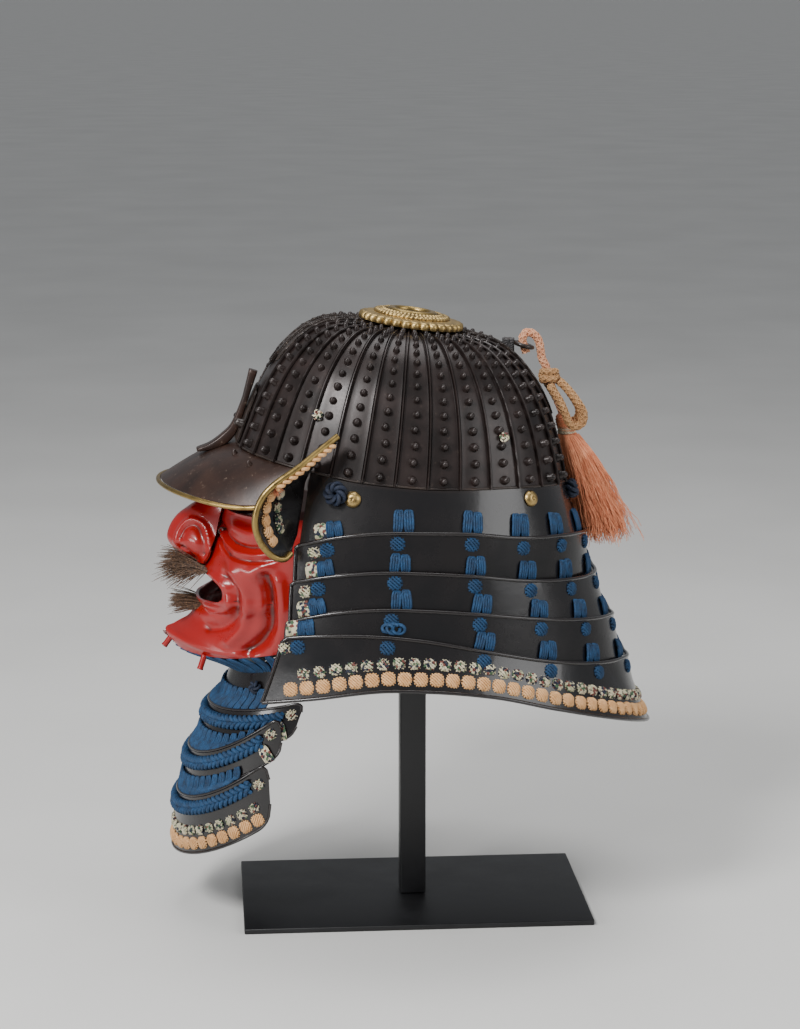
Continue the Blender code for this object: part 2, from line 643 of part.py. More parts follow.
def build_lames(frame, lacquer):
    for level in range(5):
        end = math.radians(LAME_PLANS[level][4])
        angles = np.linspace(-end, end, LAME_STEPS + 1)
        outer, inner = ([[lame_row(level, a, s, out) for s in lame_shares(level, a)] for a in angles]
                        for out in (0.0, -LAME_THICK))
        outer, inner = (np.swapaxes(np.array(skin), 0, 1) for skin in (outer, inner))
        name = f"neck_lame_{level + 1}"
        add_object(name, sheet_mesh(name, outer, inner), lacquer, frame)


def lace_rows(angle):
    """The centre line of one lace down the neck guard, as (level, share)."""
    rows = []
    for level in range(5):
        fall = edge_height(level, angle) - edge_height(level + 1, angle)
        start = 1 - LACE_TOP / fall if level == 0 else -0.0009 / fall
        stop = LACE_TAIL / fall if level == 4 else 1 - 0.0055 / fall
        rows += [(level, start), (level, stop)]
    return rows


def build_laces(frame, silk):
    for place, degrees in LACE_ANGLES.items():
        sides = {"": 0} if degrees == 0 else {"_left": 1, "_right": -1}
        for tag, side in sides.items():
            name = f"lace_{place}{tag}"
            add_object(name, lace_mesh(name, side * math.radians(degrees)), silk, frame)


def lace_mesh(name, angle):
    outer, inner = [], []
    for level, share in lace_rows(angle):
        middle = lame_row(level, angle, share)
        reach = LACE_WIDTH / 2 / math.hypot(middle[0], middle[1])
        turns = (angle - reach, angle + reach)
        inner.append([lame_row(level, turn, share, LACE_LIFT) for turn in turns])
        outer.append([lame_row(level, turn, share, LACE_LIFT + LACE_THICK) for turn in turns])
    return sheet_mesh(name, outer, inner)


def build_studs(frame, gold):
    for place, (degrees, down) in STUD_PLACES.items():
        for tag, side in {"left": 1, "right": -1}.items():
            angle = side * math.radians(degrees)
            share = down / (edge_height(0, angle) - edge_height(1, angle))
            spot = lame_row(0, angle, share)
            ahead = lame_row(0, angle + 0.05, share) - spot
            fall = lame_row(0, angle, share + 0.1) - spot
            normal = np.cross(fall, ahead)
            normal *= math.copysign(1, normal[:2] @ spot[:2]) / np.linalg.norm(normal)
            name = f"stud_{place}_{tag}"
            dome = add_object(name, dome_mesh(name), gold, frame)
            dome.location = spot + normal * 0.0005
            dome.rotation_mode = "QUATERNION"
            dome.rotation_quaternion = vector_turn(normal)


def vector_turn(normal):
    """The turn that points an object's Z axis along a normal."""
    return Vector(normal).to_track_quat("Z", "Y")


def dome_mesh(name):
    """A round-headed stud with a flat foot, standing on z = 0."""
    rings = [(STUD_RADIUS, 0.0), (STUD_RADIUS, 0.0008), (STUD_RADIUS * 0.72, 0.0030)]
    segments = 12
    points, faces = [], []
    for radius, height in rings:
        points += [(radius * math.cos(TAU * s / segments), radius * math.sin(TAU * s / segments), height)
                   for s in range(segments)]
    points.append((0, 0, 0.0040))
    faces.append(tuple(range(segments)))
    for k in range(len(rings) - 1):
        for s in range(segments):
            t = (s + 1) % segments
            faces.append((k * segments + s, k * segments + t, (k + 1) * segments + t, (k + 1) * segments + s))
    last = (len(rings) - 1) * segments
    faces += [(last + s, last + (s + 1) % segments, len(points) - 1) for s in range(segments)]
    return mesh_from(name, points, faces)


def build_turnbacks(frame, lacquer, gold):
    edge = math.radians(LAME_PLANS[0][4]) + TURN_STEP
    seat = [lame_row(0, edge, share, -LAME_THICK / 2) for share in TURN_SEAT]
    scale = np.array([BOWL_HALF_WIDTH, BOWL_HALF_LENGTH, TURN_DROP])
    rim = smooth_route(list(np.array(TURN_RIM) * scale), 14)
    root = smooth_route(list(np.array(TURN_HORN) * scale) + seat, 14)
    for side, tag in ((1, "left"), (-1, "right")):
        flip = np.array([side, 1, 1])
        rows = [(root * (1 - s) + rim * s) * flip for s in (0.0, 0.5, 1.0)]
        middle = np.array(rows)
        middle[1] += np.array([-side * 0.002, 0, 0])
        across = np.cross(np.gradient(middle, axis=1), np.gradient(middle, axis=0))
        across /= np.linalg.norm(across, axis=2)[:, :, None]
        mesh = sheet_mesh(f"turnback_{tag}", middle + across * TURN_THICK / 2, middle - across * TURN_THICK / 2)
        add_object(f"turnback_{tag}", mesh, lacquer, frame)
        route = beyond_edge(middle[2], middle[1], TURN_RIM_RADIUS + EDGE_GAP)
        tube_object(f"turnback_rim_{tag}", route, TURN_RIM_RADIUS, 1, gold, frame)


def mask_section(row, angle, inset=0.0):
    z, front, roundness, half = row
    depth = MASK_BACK_Y - front
    x, y = oval(angle, half - inset, depth - inset, roundness)
    jaw = max(0.0, (JAW_TOP - z) / JAW_RISE)
    side = abs(angle) / (math.pi / 2)
    return (x, MASK_BACK_Y - y, z + jaw * (JAW_RISE * side**4 - JAW_SAG * math.sin(math.pi * side**0.8)))


def build_mask(red):
    angles = np.linspace(-math.pi / 2, math.pi / 2, MASK_COLUMNS)
    outer = [[mask_section(r, a) for a in angles] for r in MASK_ROWS]
    inner = [[mask_section(r, a, MASK_WALL) for a in angles] for r in MASK_ROWS]
    middle = MASK_COLUMNS // 2
    nose = [(i, j) for i in range(MASK_NOSE_ROWS) for j in (middle - 1, middle)]
    mouth = [(i, middle + j) for i, reach in MASK_MOUTH_ROWS.items() for j in range(-reach, reach)]
    add_object("mask", sheet_mesh("mask", outer, inner, missing=nose + mouth), red)
    build_nose(red)
    build_pegs(red)


def mask_face(x, z):
    """The face plate's outer surface: y at a place seen from the front."""
    heights = [row[0] for row in MASK_ROWS][::-1]
    front, roundness, half = (np.interp(z, heights, [row[k] for row in MASK_ROWS][::-1]) for k in (1, 2, 3))
    return MASK_BACK_Y + (front - MASK_BACK_Y) * (1 - abs(x / half) ** roundness) ** (1 / roundness)


def build_nose(red):
    """The nose is a hooked shell in front of the face plate."""
    outer, inner = [], []
    for front, z, share in NOSE_LINE:
        wide = NOSE_HALF_WIDTH * share
        line, shell = [], []
        for t in np.linspace(-1, 1, 9):
            x = wide * t
            seat = mask_face(wide, z) - MASK_WALL - 2 * GAP
            reach = front + (seat - front) * abs(t) ** NOSE_ROUNDNESS
            line.append((x, reach, z))
            back = min(reach + MASK_WALL, mask_face(x * 0.96, z) - 2 * GAP)
            shell.append((x * 0.96, back, z))
        outer.append(line)
        inner.append(shell)
    add_object("mask_nose", sheet_mesh("mask_nose", outer, inner), red)


def build_pegs(red):
    """Two pegs for the chin cord and the drain under the chin."""
    for name, (degrees, forward, depth) in PEG_PLACES.items():
        turn = math.radians(degrees)
        foot = np.array(mask_section(MASK_ROWS[-1], turn, MASK_WALL * depth))
        away = np.array([0.35 * math.sin(turn), -forward, -1.0])
        away /= np.linalg.norm(away)
        slope = PEG_RADIUS * math.hypot(away[0], away[1]) / -away[2]
        start = foot + np.array([0, 0, -GAP - slope - PEG_SINK])
        tube_object(name, [start, start + away * PEG_LENGTH], PEG_RADIUS, 2, red)


def throat_lames():
    """The throat lames' tables in metres."""
    def place(share):
        return (-THROAT_REACH * share[0], THROAT_TOP - THROAT_DROP * share[1])

    return [(name, place(top), place(top_end), THROAT_HALF_WIDTH * wide, place(low), place(low_end),
             THROAT_HALF_WIDTH * low_wide)
            for name, top, top_end, wide, low, low_end, low_wide in THROAT_SHARES]


THROAT_LAMES = throat_lames()


def throat_point(front, end, half_width, turn, out=0.0):
    """A point of a throat lame's edge; turn runs from -1 to 1 across the wearer's front."""
    x, y = oval(turn * math.pi / 2, half_width + out, 1.0, THROAT_EXPONENT)
    depth = end[0] - front[0] + out
    rise = (1 - y) ** THROAT_RISE
    return (x, end[0] - depth * y, front[1] + (end[1] - front[1]) * rise)


def throat_row(lame, turn, share, out=0.0):
    top = np.array(throat_point(lame[1], lame[2], lame[3], turn, out))
    low = np.array(throat_point(lame[4], lame[5], lame[6], turn, out))
    return top + (low - top) * share


def throat_lace_column(upper, lower, turn, lift):
    """One strand's line: down the upper lame and over the lower one's top edge."""
    top, foot = throat_row(upper, turn, 0.0), throat_row(upper, turn, 1.0)
    edge = throat_row(lower, turn, 0.0)[2]
    reach = min((top[2] - edge - THROAT_STEP) / (top[2] - foot[2]), 0.98)
    starts = [throat_row(upper, turn, share, lift) for share in (max(reach * 0.45, 0.3), reach)]
    return starts + [throat_row(lower, turn, share, lift) for share in (-0.06, 0.22)]


def build_throat(lacquer, silk):
    turns = np.linspace(-1, 1, THROAT_STEPS + 1)
    for lame in THROAT_LAMES:
        outer = [[throat_row(lame, t, s) for t in turns] for s in (0.0, 1.0)]
        inner = [[throat_row(lame, t, s, -THROAT_THICK) for t in turns] for s in (0.0, 1.0)]
        add_object(lame[0], sheet_mesh(lame[0], outer, inner), lacquer)
    for index, trim in enumerate(THROAT_TRIMS):
        pair = THROAT_LAMES[index:index + 2]
        skins = []
        for lift in (THROAT_LIFT + THROAT_LACE_THICK, THROAT_LIFT):
            columns = [throat_lace_column(*pair, t, lift) for t in turns[trim:-trim]]
            skins.append(np.swapaxes(np.array(columns), 0, 1))
        name = f"throat_lacing_{index + 1}"
        add_object(name, sheet_mesh(name, *skins), silk)
    build_hanger(silk)


def build_hanger(silk):
    """The laces that hang the first throat lame from the mask's lower rim."""
    turns = np.linspace(-1, 1, MASK_COLUMNS)[1:-1]
    skins = []
    for lift in (THROAT_LACE_THICK, 0.0):
        rim = [mask_section(MASK_ROWS[-1], t * math.pi / 2, MASK_WALL - lift) for t in turns]
        rim = [(x, y, z - GAP) for x, y, z in rim]
        foot = [throat_row(THROAT_LAMES[0], t, 0.42, THROAT_LIFT + lift) for t in turns]
        skins.append([rim, foot])
    add_object("throat_hanger", sheet_mesh("throat_hanger", *skins), silk)


def ring_mesh(name, radius, wire, segments=14, sides=6):
    """A round ring about Z."""
    points, faces = [], []
    for i in range(segments):
        a = TAU * i / segments
        for j in range(sides):
            b = TAU * j / sides
            r = radius + wire * math.cos(b)
            points.append((r * math.cos(a), r * math.sin(a), wire * math.sin(b)))
    for i in range(segments):
        for j in range(sides):
            a, b = i * sides, ((i + 1) % segments) * sides
            faces.append((a + j, a + (j + 1) % sides, b + (j + 1) % sides, b + j))
    return mesh_from(name, points, faces)


def build_rear(iron, cord, orange):
    ring = add_object("rear_ring", ring_mesh("rear_ring", RING_RADIUS, RING_WIRE), iron)
    ring.location = RING_CENTRE
    ring.rotation_euler = (RING_LEAN, 0, 0)
    build_lug(iron)
    tube_object("bow_cord", smooth_route(CORD_ROUTE, 15), CORD_DIAMETER / 2, 2, cord)
    knot = bmesh.new()
    bmesh.ops.create_uvsphere(knot, u_segments=10, v_segments=6, radius=1.0)
    bmesh.ops.scale(knot, vec=KNOT_SIZE, verts=knot.verts)
    mesh = bpy.data.meshes.new("bow_knot")
    knot.to_mesh(mesh)
    knot.free()
    add_object("bow_knot", mesh, cord).location = KNOT_CENTRE
    for tag, side in {"left": 1, "right": -1}.items():
        route = smooth_route(LOOP_ROUTE, 18) * np.array([side, 1, 1])
        tube_object(f"bow_loop_{tag}", route, CORD_DIAMETER / 2, 2, cord)
    build_tassel(orange)


def build_lug(iron):
    """The post that the ring hangs on, standing on the rear strip."""
    front = RING_CENTRE[1] - (RING_RADIUS + RING_WIRE) * math.cos(RING_LEAN) - GAP
    back = front - LUG_LENGTH
    half = LUG_WIDTH / 2
    top = RING_CENTRE[2] + (RING_RADIUS + RING_WIRE) * abs(math.sin(RING_LEAN)) + 0.003
    rings = []
    for level in (0.0, 1.0):
        ring = []
        for x, y in ((-half, back), (half, back), (half, front), (-half, front)):
            foot = strip_top(y) + GAP
            ring.append((x, y, foot + (top - foot) * level))
        rings.append(ring)
    add_object("ring_lug", stack_mesh("ring_lug", rings), iron)


def to_world(point):
    """A point of the helmet's frame in the stand's frame."""
    x, y, z = point
    return np.array([RIM_CENTRE[0] + x, RIM_CENTRE[1] + y * math.cos(TILT) + z * math.sin(TILT),
                     RIM_CENTRE[2] - y * math.sin(TILT) + z * math.cos(TILT)])


def strip_top(y):
    """Height of the rear strip's outer face at a place along the middle line."""
    line = []
    for radius, height in BOWL_ROWS[2:-1]:
        line.append(to_world(bowl_points([0.5], radius, height, STRIP_LIFT + STRIP_THICK)[0]))
    line = np.array(line)[::-1]
    return float(np.interp(y, line[:, 1], line[:, 2]))


def build_tassel(orange):
    rings = []
    count = 2 * TASSEL_LOCKS
    for index, (back, down, wide_y, wide_x) in enumerate(TASSEL_SHARES):
        y, z = TASSEL_TOP[0] + TASSEL_LENGTH * back, TASSEL_TOP[1] - TASSEL_LENGTH * down
        half_y, half_x = TASSEL_HALF_WIDTH * wide_y, TASSEL_HALF_WIDTH * wide_x
        ring = []
        for k in range(count):
            share = 1 - (TASSEL_GROOVE if k % 2 and index >= TASSEL_NECK else 0)
            a = TAU * k / count
            ring.append((half_x * share * math.sin(a), y + half_y * share * math.cos(a), z))
        rings.append(ring)
    add_object("tassel", stack_mesh("tassel", rings), orange)


def build_rest(steel, post_top):
    """The pad that fills the crown from below, on the post's top."""
    low, high = BOWL_ROWS[5], BOWL_ROWS[8]
    shares = np.arange(REST_SIDES) / REST_SIDES
    inset = -BOWL_WALL - 2 * GAP
    outer, inner = (np.array([to_world(p) for p in bowl_points(shares, *row, inset)]) for row in (low, high))
    rim, crown = outer + (inner - outer) * 0.25, outer + (inner - outer) * 0.96
    under = rim - np.array([0, 0, REST_THICK])
    foot = crown * np.array([0.7, 0.7, 0]) + np.array([0, 0, post_top + GAP])
    add_object("crown_rest", stack_mesh("crown_rest", [foot, under, rim, crown]), steel)


def build_stand(steel):
    base = add_object("stand_base", box_mesh("stand_base", (BASE_WIDTH, BASE_LENGTH, BASE_THICK)), steel, None, False)
    base.location = (0, 0, BASE_THICK / 2)
    crown = to_world((0, BOWL_CENTRE_Y + CROWN_SHIFT, BOWL_HEIGHT - BOWL_WALL))[2]
    top = crown - POST_DROP
    foot = BASE_THICK + GAP
    height = top - foot
    post = add_object("stand_post", box_mesh("stand_post", (POST_SIDE, POST_SIDE, height)), steel, None, False)
    post.location = (0, 0, foot + height / 2)
    build_rest(steel, top)
    build_arm(steel)


def wall_ahead(height):
    """The outer face of the mask's middle at a height, or the nose's where the mask is open for it."""
    if height > MASK_ROWS[MASK_NOSE_ROWS][0]:
        fronts, heights, shares = (np.array(column) for column in zip(*NOSE_LINE[::-1]))
        wide = NOSE_HALF_WIDTH * np.interp(height, heights, shares)
        front = np.interp(height, heights, fronts)
        return front + (mask_face(wide, height) - front) * (ARM_SIDE / 2 / wide) ** NOSE_ROUNDNESS
    heights, fronts = zip(*[(row[0], row[1]) for row in MASK_ROWS[::-1]])
    return np.interp(height, heights, fronts)


def build_arm(steel):
    """The flat arm from the post to the back of the mask's upper lip, or of the nose at its height."""
    reach = max(wall_ahead(ARM_HEIGHT + s * ARM_SIDE / 2) for s in (-1, 1))
    front, back = reach + MASK_WALL + 2 * GAP, -POST_SIDE / 2 - GAP
    size = (ARM_SIDE, back - front, ARM_SIDE)
    arm = add_object("mask_arm", box_mesh("mask_arm", size), steel, None, False)
    arm.location = (0, (front + back) / 2, ARM_HEIGHT)


def main():
    for thing in list(bpy.data.objects):
        bpy.data.objects.remove(thing)
    frame = bpy.data.objects.new("helmet_frame", None)
    bpy.context.scene.collection.objects.link(frame)
    frame.location = RIM_CENTRE
    frame.rotation_euler = (-TILT, 0, 0)
    black_iron = paint("russet_iron_plates", (0.018, 0.013, 0.012), 0.45, 0.6)
    lacquer = paint("black_lacquer", (0.006, 0.006, 0.008), 0.18)
    orange = paint("orange_silk_tassel", (0.60, 0.18, 0.07), 0.85)
    russet = paint("russet_iron_peak", (0.045, 0.024, 0.018), 0.4, 0.4)
    gold = paint("gilt_brass", (0.45, 0.27, 0.09), 0.35, 1.0)
    silk = paint("indigo_silk", (0.012, 0.035, 0.12), 0.8)
    red = paint("red_lacquer", (0.38, 0.012, 0.010), 0.25)
    cord = paint("peach_silk_cord", (0.55, 0.22, 0.10), 0.8)
    steel = paint("black_painted_steel", (0.008, 0.008, 0.010), 0.5)
    build_bowl(frame, black_iron)
    build_crown(frame, gold)
    build_strips(frame, black_iron)
    build_peak(frame, russet, gold, black_iron)
    build_lames(frame, lacquer)
    build_laces(frame, silk)
    build_studs(frame, gold)
    build_turnbacks(frame, lacquer, gold)
    build_mask(red)
    build_throat(lacquer, silk)
    build_rear(black_iron, cord, orange)
    build_stand(steel)


main()
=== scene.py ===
# %% [markdown]
# A samurai's helmet of ridged and riveted iron plates, with its laced neck guard, a red lacquered
# half mask and a laced throat guard, on a plain steel stand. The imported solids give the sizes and
# places. This file gives each piece its fine shape and its finish, one step to a cell.

# %% Load the frame
import functools
import math

import bmesh
import bpy
import numpy as np
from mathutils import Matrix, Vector


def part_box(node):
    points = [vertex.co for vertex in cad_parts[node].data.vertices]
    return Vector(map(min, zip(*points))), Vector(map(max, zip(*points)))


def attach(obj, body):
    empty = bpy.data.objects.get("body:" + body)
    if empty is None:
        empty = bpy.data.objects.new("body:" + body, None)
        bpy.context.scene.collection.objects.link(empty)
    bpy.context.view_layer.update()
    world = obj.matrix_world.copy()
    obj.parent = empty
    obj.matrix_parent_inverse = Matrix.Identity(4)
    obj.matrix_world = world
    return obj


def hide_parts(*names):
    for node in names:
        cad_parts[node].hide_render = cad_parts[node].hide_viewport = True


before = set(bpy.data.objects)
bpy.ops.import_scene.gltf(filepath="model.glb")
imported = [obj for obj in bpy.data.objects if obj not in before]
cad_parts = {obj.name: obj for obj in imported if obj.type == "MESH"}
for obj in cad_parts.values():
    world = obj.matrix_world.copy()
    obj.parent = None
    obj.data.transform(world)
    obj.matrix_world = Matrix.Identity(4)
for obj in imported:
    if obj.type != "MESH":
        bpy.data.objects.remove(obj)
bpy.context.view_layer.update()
rng = np.random.default_rng(7)

# %% [markdown]
# The helmet is tilted on its stand, so its own pieces are worked out level, with zero at the bowl's
# rim, and then turned. Writing the turn once keeps every formula below simple.

# %% The helmet's own level frame
MM = 0.001
TAU = 2 * math.pi
TILT = math.radians(7.95)
RIM_CENTRE = np.array([0.0, -0.0097, 0.3332])
SHARP_ANGLE = math.radians(48)


def placed(points):
    """Points of the level helmet as they stand on the stand."""
    p = np.asarray(points, float)
    y, z = p[..., 1], p[..., 2]
    turned = np.stack([p[..., 0], y * math.cos(TILT) + z * math.sin(TILT),
                       z * math.cos(TILT) - y * math.sin(TILT)], -1)
    return turned + RIM_CENTRE


# %% [markdown]
# Everything here is made of a few mesh forms: a wall between two skins, a round bar along a line, and
# many copies of a small form. Writing points and faces as arrays is much quicker than adding them one
# by one, and joins thousands of stitches into one mesh.

# %% Make a mesh from parts
def make(name, parts, material, replaces=(), tidy=True):
    """Joins parts, each points and blocks of faces, into one piece that rides on the body."""
    points, blocks = joined(parts)
    corners = np.concatenate([block.ravel() for block in blocks])
    sizes = np.concatenate([np.full(len(block), block.shape[1]) for block in blocks])
    mesh = bpy.data.meshes.new(name)
    mesh.vertices.add(len(points))
    mesh.vertices.foreach_set("co", points.astype(np.float32).ravel())
    mesh.loops.add(len(corners))
    mesh.loops.foreach_set("vertex_index", corners.astype(np.int32))
    mesh.polygons.add(len(sizes))
    mesh.polygons.foreach_set("loop_start", (np.cumsum(sizes) - sizes).astype(np.int32))
    mesh.update(calc_edges=True)
    mesh.validate()
    if tidy:
        form = bmesh.new()
        form.from_mesh(mesh)
        bmesh.ops.recalc_face_normals(form, faces=form.faces)
        form.to_mesh(mesh)
        form.free()
    mesh.shade_smooth()
    mesh.set_sharp_from_angle(angle=SHARP_ANGLE)
    piece = bpy.data.objects.new(name, mesh)
    bpy.context.scene.collection.objects.link(piece)
    mesh.materials.append(material)
    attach(piece, "root")
    if replaces:
        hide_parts(*replaces)
    print(name, len(mesh.polygons), "faces")
    return piece


# %% Walls, bars and copies
def unit(vectors):
    """Vectors of length one."""
    return vectors / np.maximum(np.linalg.norm(vectors, axis=-1, keepdims=True), 1e-12)


def skin_normals(grid, centre, closed=False):
    """The normals of a grid of points, on the side away from a centre."""
    if closed:
        along = np.roll(grid, -1, axis=1) - np.roll(grid, 1, axis=1)
    else:
        along = np.gradient(grid, axis=1)
    normals = unit(np.cross(along, np.gradient(grid, axis=0)))
    return normals * np.sign(np.sum(normals * (grid - np.asarray(centre))))


def wall(outer, thick, centre, closed=False, holes=None):
    """A wall under an outer skin of rows and columns; thick runs away from the skin, to the centre."""
    rows, columns = outer.shape[:2]
    inner = outer - skin_normals(outer, centre, closed) * thick
    wide = columns if closed else columns - 1
    cells = np.ones((rows - 1, wide), bool) if holes is None else ~holes
    index = np.arange(rows * columns).reshape(rows, columns)
    i, j = np.nonzero(cells)
    k = (j + 1) % columns
    front = np.stack([index[i, j], index[i, k], index[i + 1, k], index[i + 1, j]], 1)
    under = rows * columns
    padded = np.zeros((rows + 1, wide + 2), bool)
    padded[1:-1, 1:-1] = cells
    if closed:
        padded[:, 0], padded[:, -1] = padded[:, -2], padded[:, 1]
    i, j = np.nonzero(padded[1:, 1:-1] != padded[:-1, 1:-1])
    a, b = index[i, j], index[i, (j + 1) % columns]
    sides = [np.stack([a, b, b + under, a + under], 1)]
    i, j = np.nonzero(padded[1:-1, 1:] != padded[1:-1, :-1])
    if closed:
        keep = j < columns
        i, j = i[keep], j[keep]
    a, b = index[i, j % columns], index[i + 1, j % columns]
    sides.append(np.stack([a, b, b + under, a + under], 1))
    points = np.concatenate([outer.reshape(-1, 3), inner.reshape(-1, 3)])
    return points, [front, front[:, ::-1] + under] + [s for s in sides if len(s)]


def bar(route, radius, sides=8, flat=1.0, up=(0.0, 0.0, 1.0)):
    """A bar along a route, round or flat; the radius may change from point to point."""
    route = np.asarray(route, float)
    along = unit(np.gradient(route, axis=0))
    up = np.broadcast_to(np.asarray(up, float), route.shape)
    side = np.cross(along, up)
    weak = np.linalg.norm(side, axis=1) < 0.05
    side[weak] = np.cross(along[weak], (0.31, 0.87, 0.38))
    side = unit(side)
    for k in range(1, len(side)):
        if side[k] @ side[k - 1] < 0:
            side[k] = -side[k]
    rise = np.cross(side, along)
    turn = np.arange(sides) * TAU / sides
    radius = np.broadcast_to(radius, len(route))[:, None, None]
    ring = side[:, None] * np.cos(turn)[None, :, None] + rise[:, None] * np.sin(turn)[None, :, None] * flat
    points = (route[:, None] + ring * radius).reshape(-1, 3)
    return points, tube_faces(len(route), sides)


def tube_faces(rows, sides):
    """The faces of a closed tube of rings."""
    index = np.arange(rows * sides).reshape(rows, sides)
    after = np.roll(index, -1, axis=1)
    quads = np.stack([index[:-1], after[:-1], after[1:], index[1:]], -1).reshape(-1, 4)
    return [quads, index[:1, ::-1], index[-1:]]


def copies(part, origins, axes):
    """A part repeated at places, each with its own three axes."""
    points, blocks = part
    origins, axes = np.asarray(origins, float), np.asarray(axes, float)
    moved = origins[:, None] + np.einsum("nk,mkc->mnc", points, axes)
    shift = np.arange(len(origins))[:, None, None] * len(points)
    return moved.reshape(-1, 3), [(b[None] + shift).reshape(-1, b.shape[1]) for b in blocks]


def joined(parts):
    """Several parts as one."""
    starts = np.cumsum([0] + [len(points) for points, blocks in parts])
    blocks = [np.asarray(b) + start for (p, bs), start in zip(parts, starts) for b in bs]
    return np.concatenate([p for p, b in parts]), blocks


def line_length(line):
    """The whole length of a line."""
    return float(np.linalg.norm(np.diff(line, axis=0), axis=1).sum())


def lengths_along(line):
    """The length of a line up to each of its points."""
    return np.concatenate([[0], np.cumsum(np.linalg.norm(np.diff(line, axis=0), axis=1))])


def smooth_line(points, count):
    """A smooth curve through the points, in even steps."""
    p = np.asarray(points, float)
    ends = np.concatenate([[2 * p[0] - p[1]], p, [2 * p[-1] - p[-2]]])
    t = np.linspace(0, len(p) - 1, count * 6)
    i = np.minimum(t.astype(int), len(p) - 2)
    u = (t - i)[:, None]
    a, b, c, d = ends[i], ends[i + 1], ends[i + 2], ends[i + 3]
    line = 0.5 * (2 * b + (c - a) * u + (2 * a - 5 * b + 4 * c - d) * u**2 + (3 * b - a - 3 * c + d) * u**3)
    along = lengths_along(line)
    return np.stack([np.interp(np.linspace(0, along[-1], count), along, line[:, k])
                     for k in range(p.shape[1])], 1)


def turned(profile, segments):
    """A form turned about its third axis from (radius, height) points, closed at a top point."""
    ring = np.arange(segments) * TAU / segments
    points = np.array([(r * math.cos(a), r * math.sin(a), h) for r, h in profile for a in ring])
    return points, tube_faces(len(profile), segments)


# %% [markdown]
# Each finish is a small node tree on a Principled shader. Four helpers are enough: one turns a colour
# from its sRGB hex code to the linear values that Blender works in, one adds a node and gives its
# output, one starts a material and one links the last outputs to its shader.

# %% Material helpers
def linear(code):
    """An sRGB hex code as linear red, green, blue and alpha."""
    parts = [int(code[i:i + 2], 16) / 255 for i in (1, 3, 5)]
    return tuple(c / 12.92 if c <= 0.04045 else ((c + 0.055) / 1.055) ** 2.4 for c in parts) + (1.0,)


def add(tree, kind, settings=(), links=(), stops=(), gives=None):
    """Adds a node and gives its output.

    Settings name its properties or sockets, links what feeds a socket, and stops fill a ramp.
    """
    node = tree.nodes.new("ShaderNode" + kind)
    for key, value in dict(settings).items():
        if isinstance(key, int) or key in node.inputs:
            node.inputs[key].default_value = value
        else:
            setattr(node, key, value)
    for key, socket in dict(links).items():
        tree.links.new(socket, node.inputs[key])
    for index, (place, code) in enumerate(stops):
        points = node.color_ramp.elements
        point = points[index] if index < len(points) else points.new(place)
        point.position, point.color = place, linear(code)
    return node.outputs[gives] if gives else next(out for out in node.outputs if out.enabled)


def finish(name, colour, roughness, metallic=0.0, **sockets):
    """A material with its shader set, what adds its nodes, and the place on the piece, in metres."""
    made = bpy.data.materials.new(name)
    made.use_nodes = True
    sockets.update(base_color=linear(colour), roughness=roughness, metallic=metallic)
    for key, value in sockets.items():
        made.node_tree.nodes["Principled BSDF"].inputs[key.replace("_", " ").title()].default_value = value
    node = functools.partial(add, made.node_tree)
    return made, node, node("TexCoord", gives="Object")


def feed(made, **sockets):
    """Links outputs into a material's shader, and gives the material."""
    tree = made.node_tree
    for key, socket in sockets.items():
        tree.links.new(socket, tree.nodes["Principled BSDF"].inputs[key.replace("_", " ").title()])
    return made


# %% [markdown]
# The plates of the bowl are forged iron, blacked by rust and oil and not polished: nearly black with a
# warm brown in it, a broad satin shine and a faint grain from the hammer. Where hands have touched it
# for centuries, small pale scuffs have come through.

# %% Rust-blacked iron
def blacked_iron(name, dark, light, roughness, scuffed=0.0):
    """Forged iron with a rust-black skin."""
    made, node, place = finish(name, dark, roughness, 0.25)
    patches = node("TexNoise", {"Scale": 1 / (18 * MM), "Detail": 6.0}, {"Vector": place})
    grain = node("TexNoise", {"Scale": 1 / (1.4 * MM), "Detail": 5.0, "Roughness": 0.7}, {"Vector": place})
    marks = node("TexNoise", {"Scale": 1 / (4.5 * MM), "Detail": 8.0, "Roughness": 0.75}, {"Vector": place})
    colour = node("ValToRGB", {}, {"Fac": patches}, [(0.32, dark), (0.72, light)])
    share = node("MapRange", {"From Min": 0.60, "From Max": 0.68, "To Max": scuffed}, {"Value": marks})
    mixed = node("Mix", {"data_type": "RGBA", 7: linear("#8d7c6d")}, {0: share, 6: colour})
    level = node("MapRange", {"To Min": roughness - 0.08, "To Max": roughness + 0.12}, {"Value": grain})
    slow = node("Bump", {"Distance": 0.5 * MM, "Strength": 0.35}, {"Height": patches})
    fine = node("Bump", {"Distance": 0.05 * MM, "Strength": 0.6}, {"Height": grain, "Normal": slow})
    return feed(made, base_color=mixed, roughness=level, normal=fine)


iron = blacked_iron("rust_blacked_iron", "#191210", "#302624", 0.34, 0.12)
russet = blacked_iron("russet_iron_peak", "#221612", "#38251d", 0.36, 0.5)
edge_iron = blacked_iron("worn_iron_edge", "#1d1715", "#3d332e", 0.30, 0.6)

# %% [markdown]
# Urushi lacquer is a tree resin laid on iron in many thin coats and polished. Black and red are both
# deep and wet to the eye: a clear coat over the colour, a slow waviness from the brush, tiny specks of
# dust, grime in the folds, and at the edges the brown ground coat showing through.

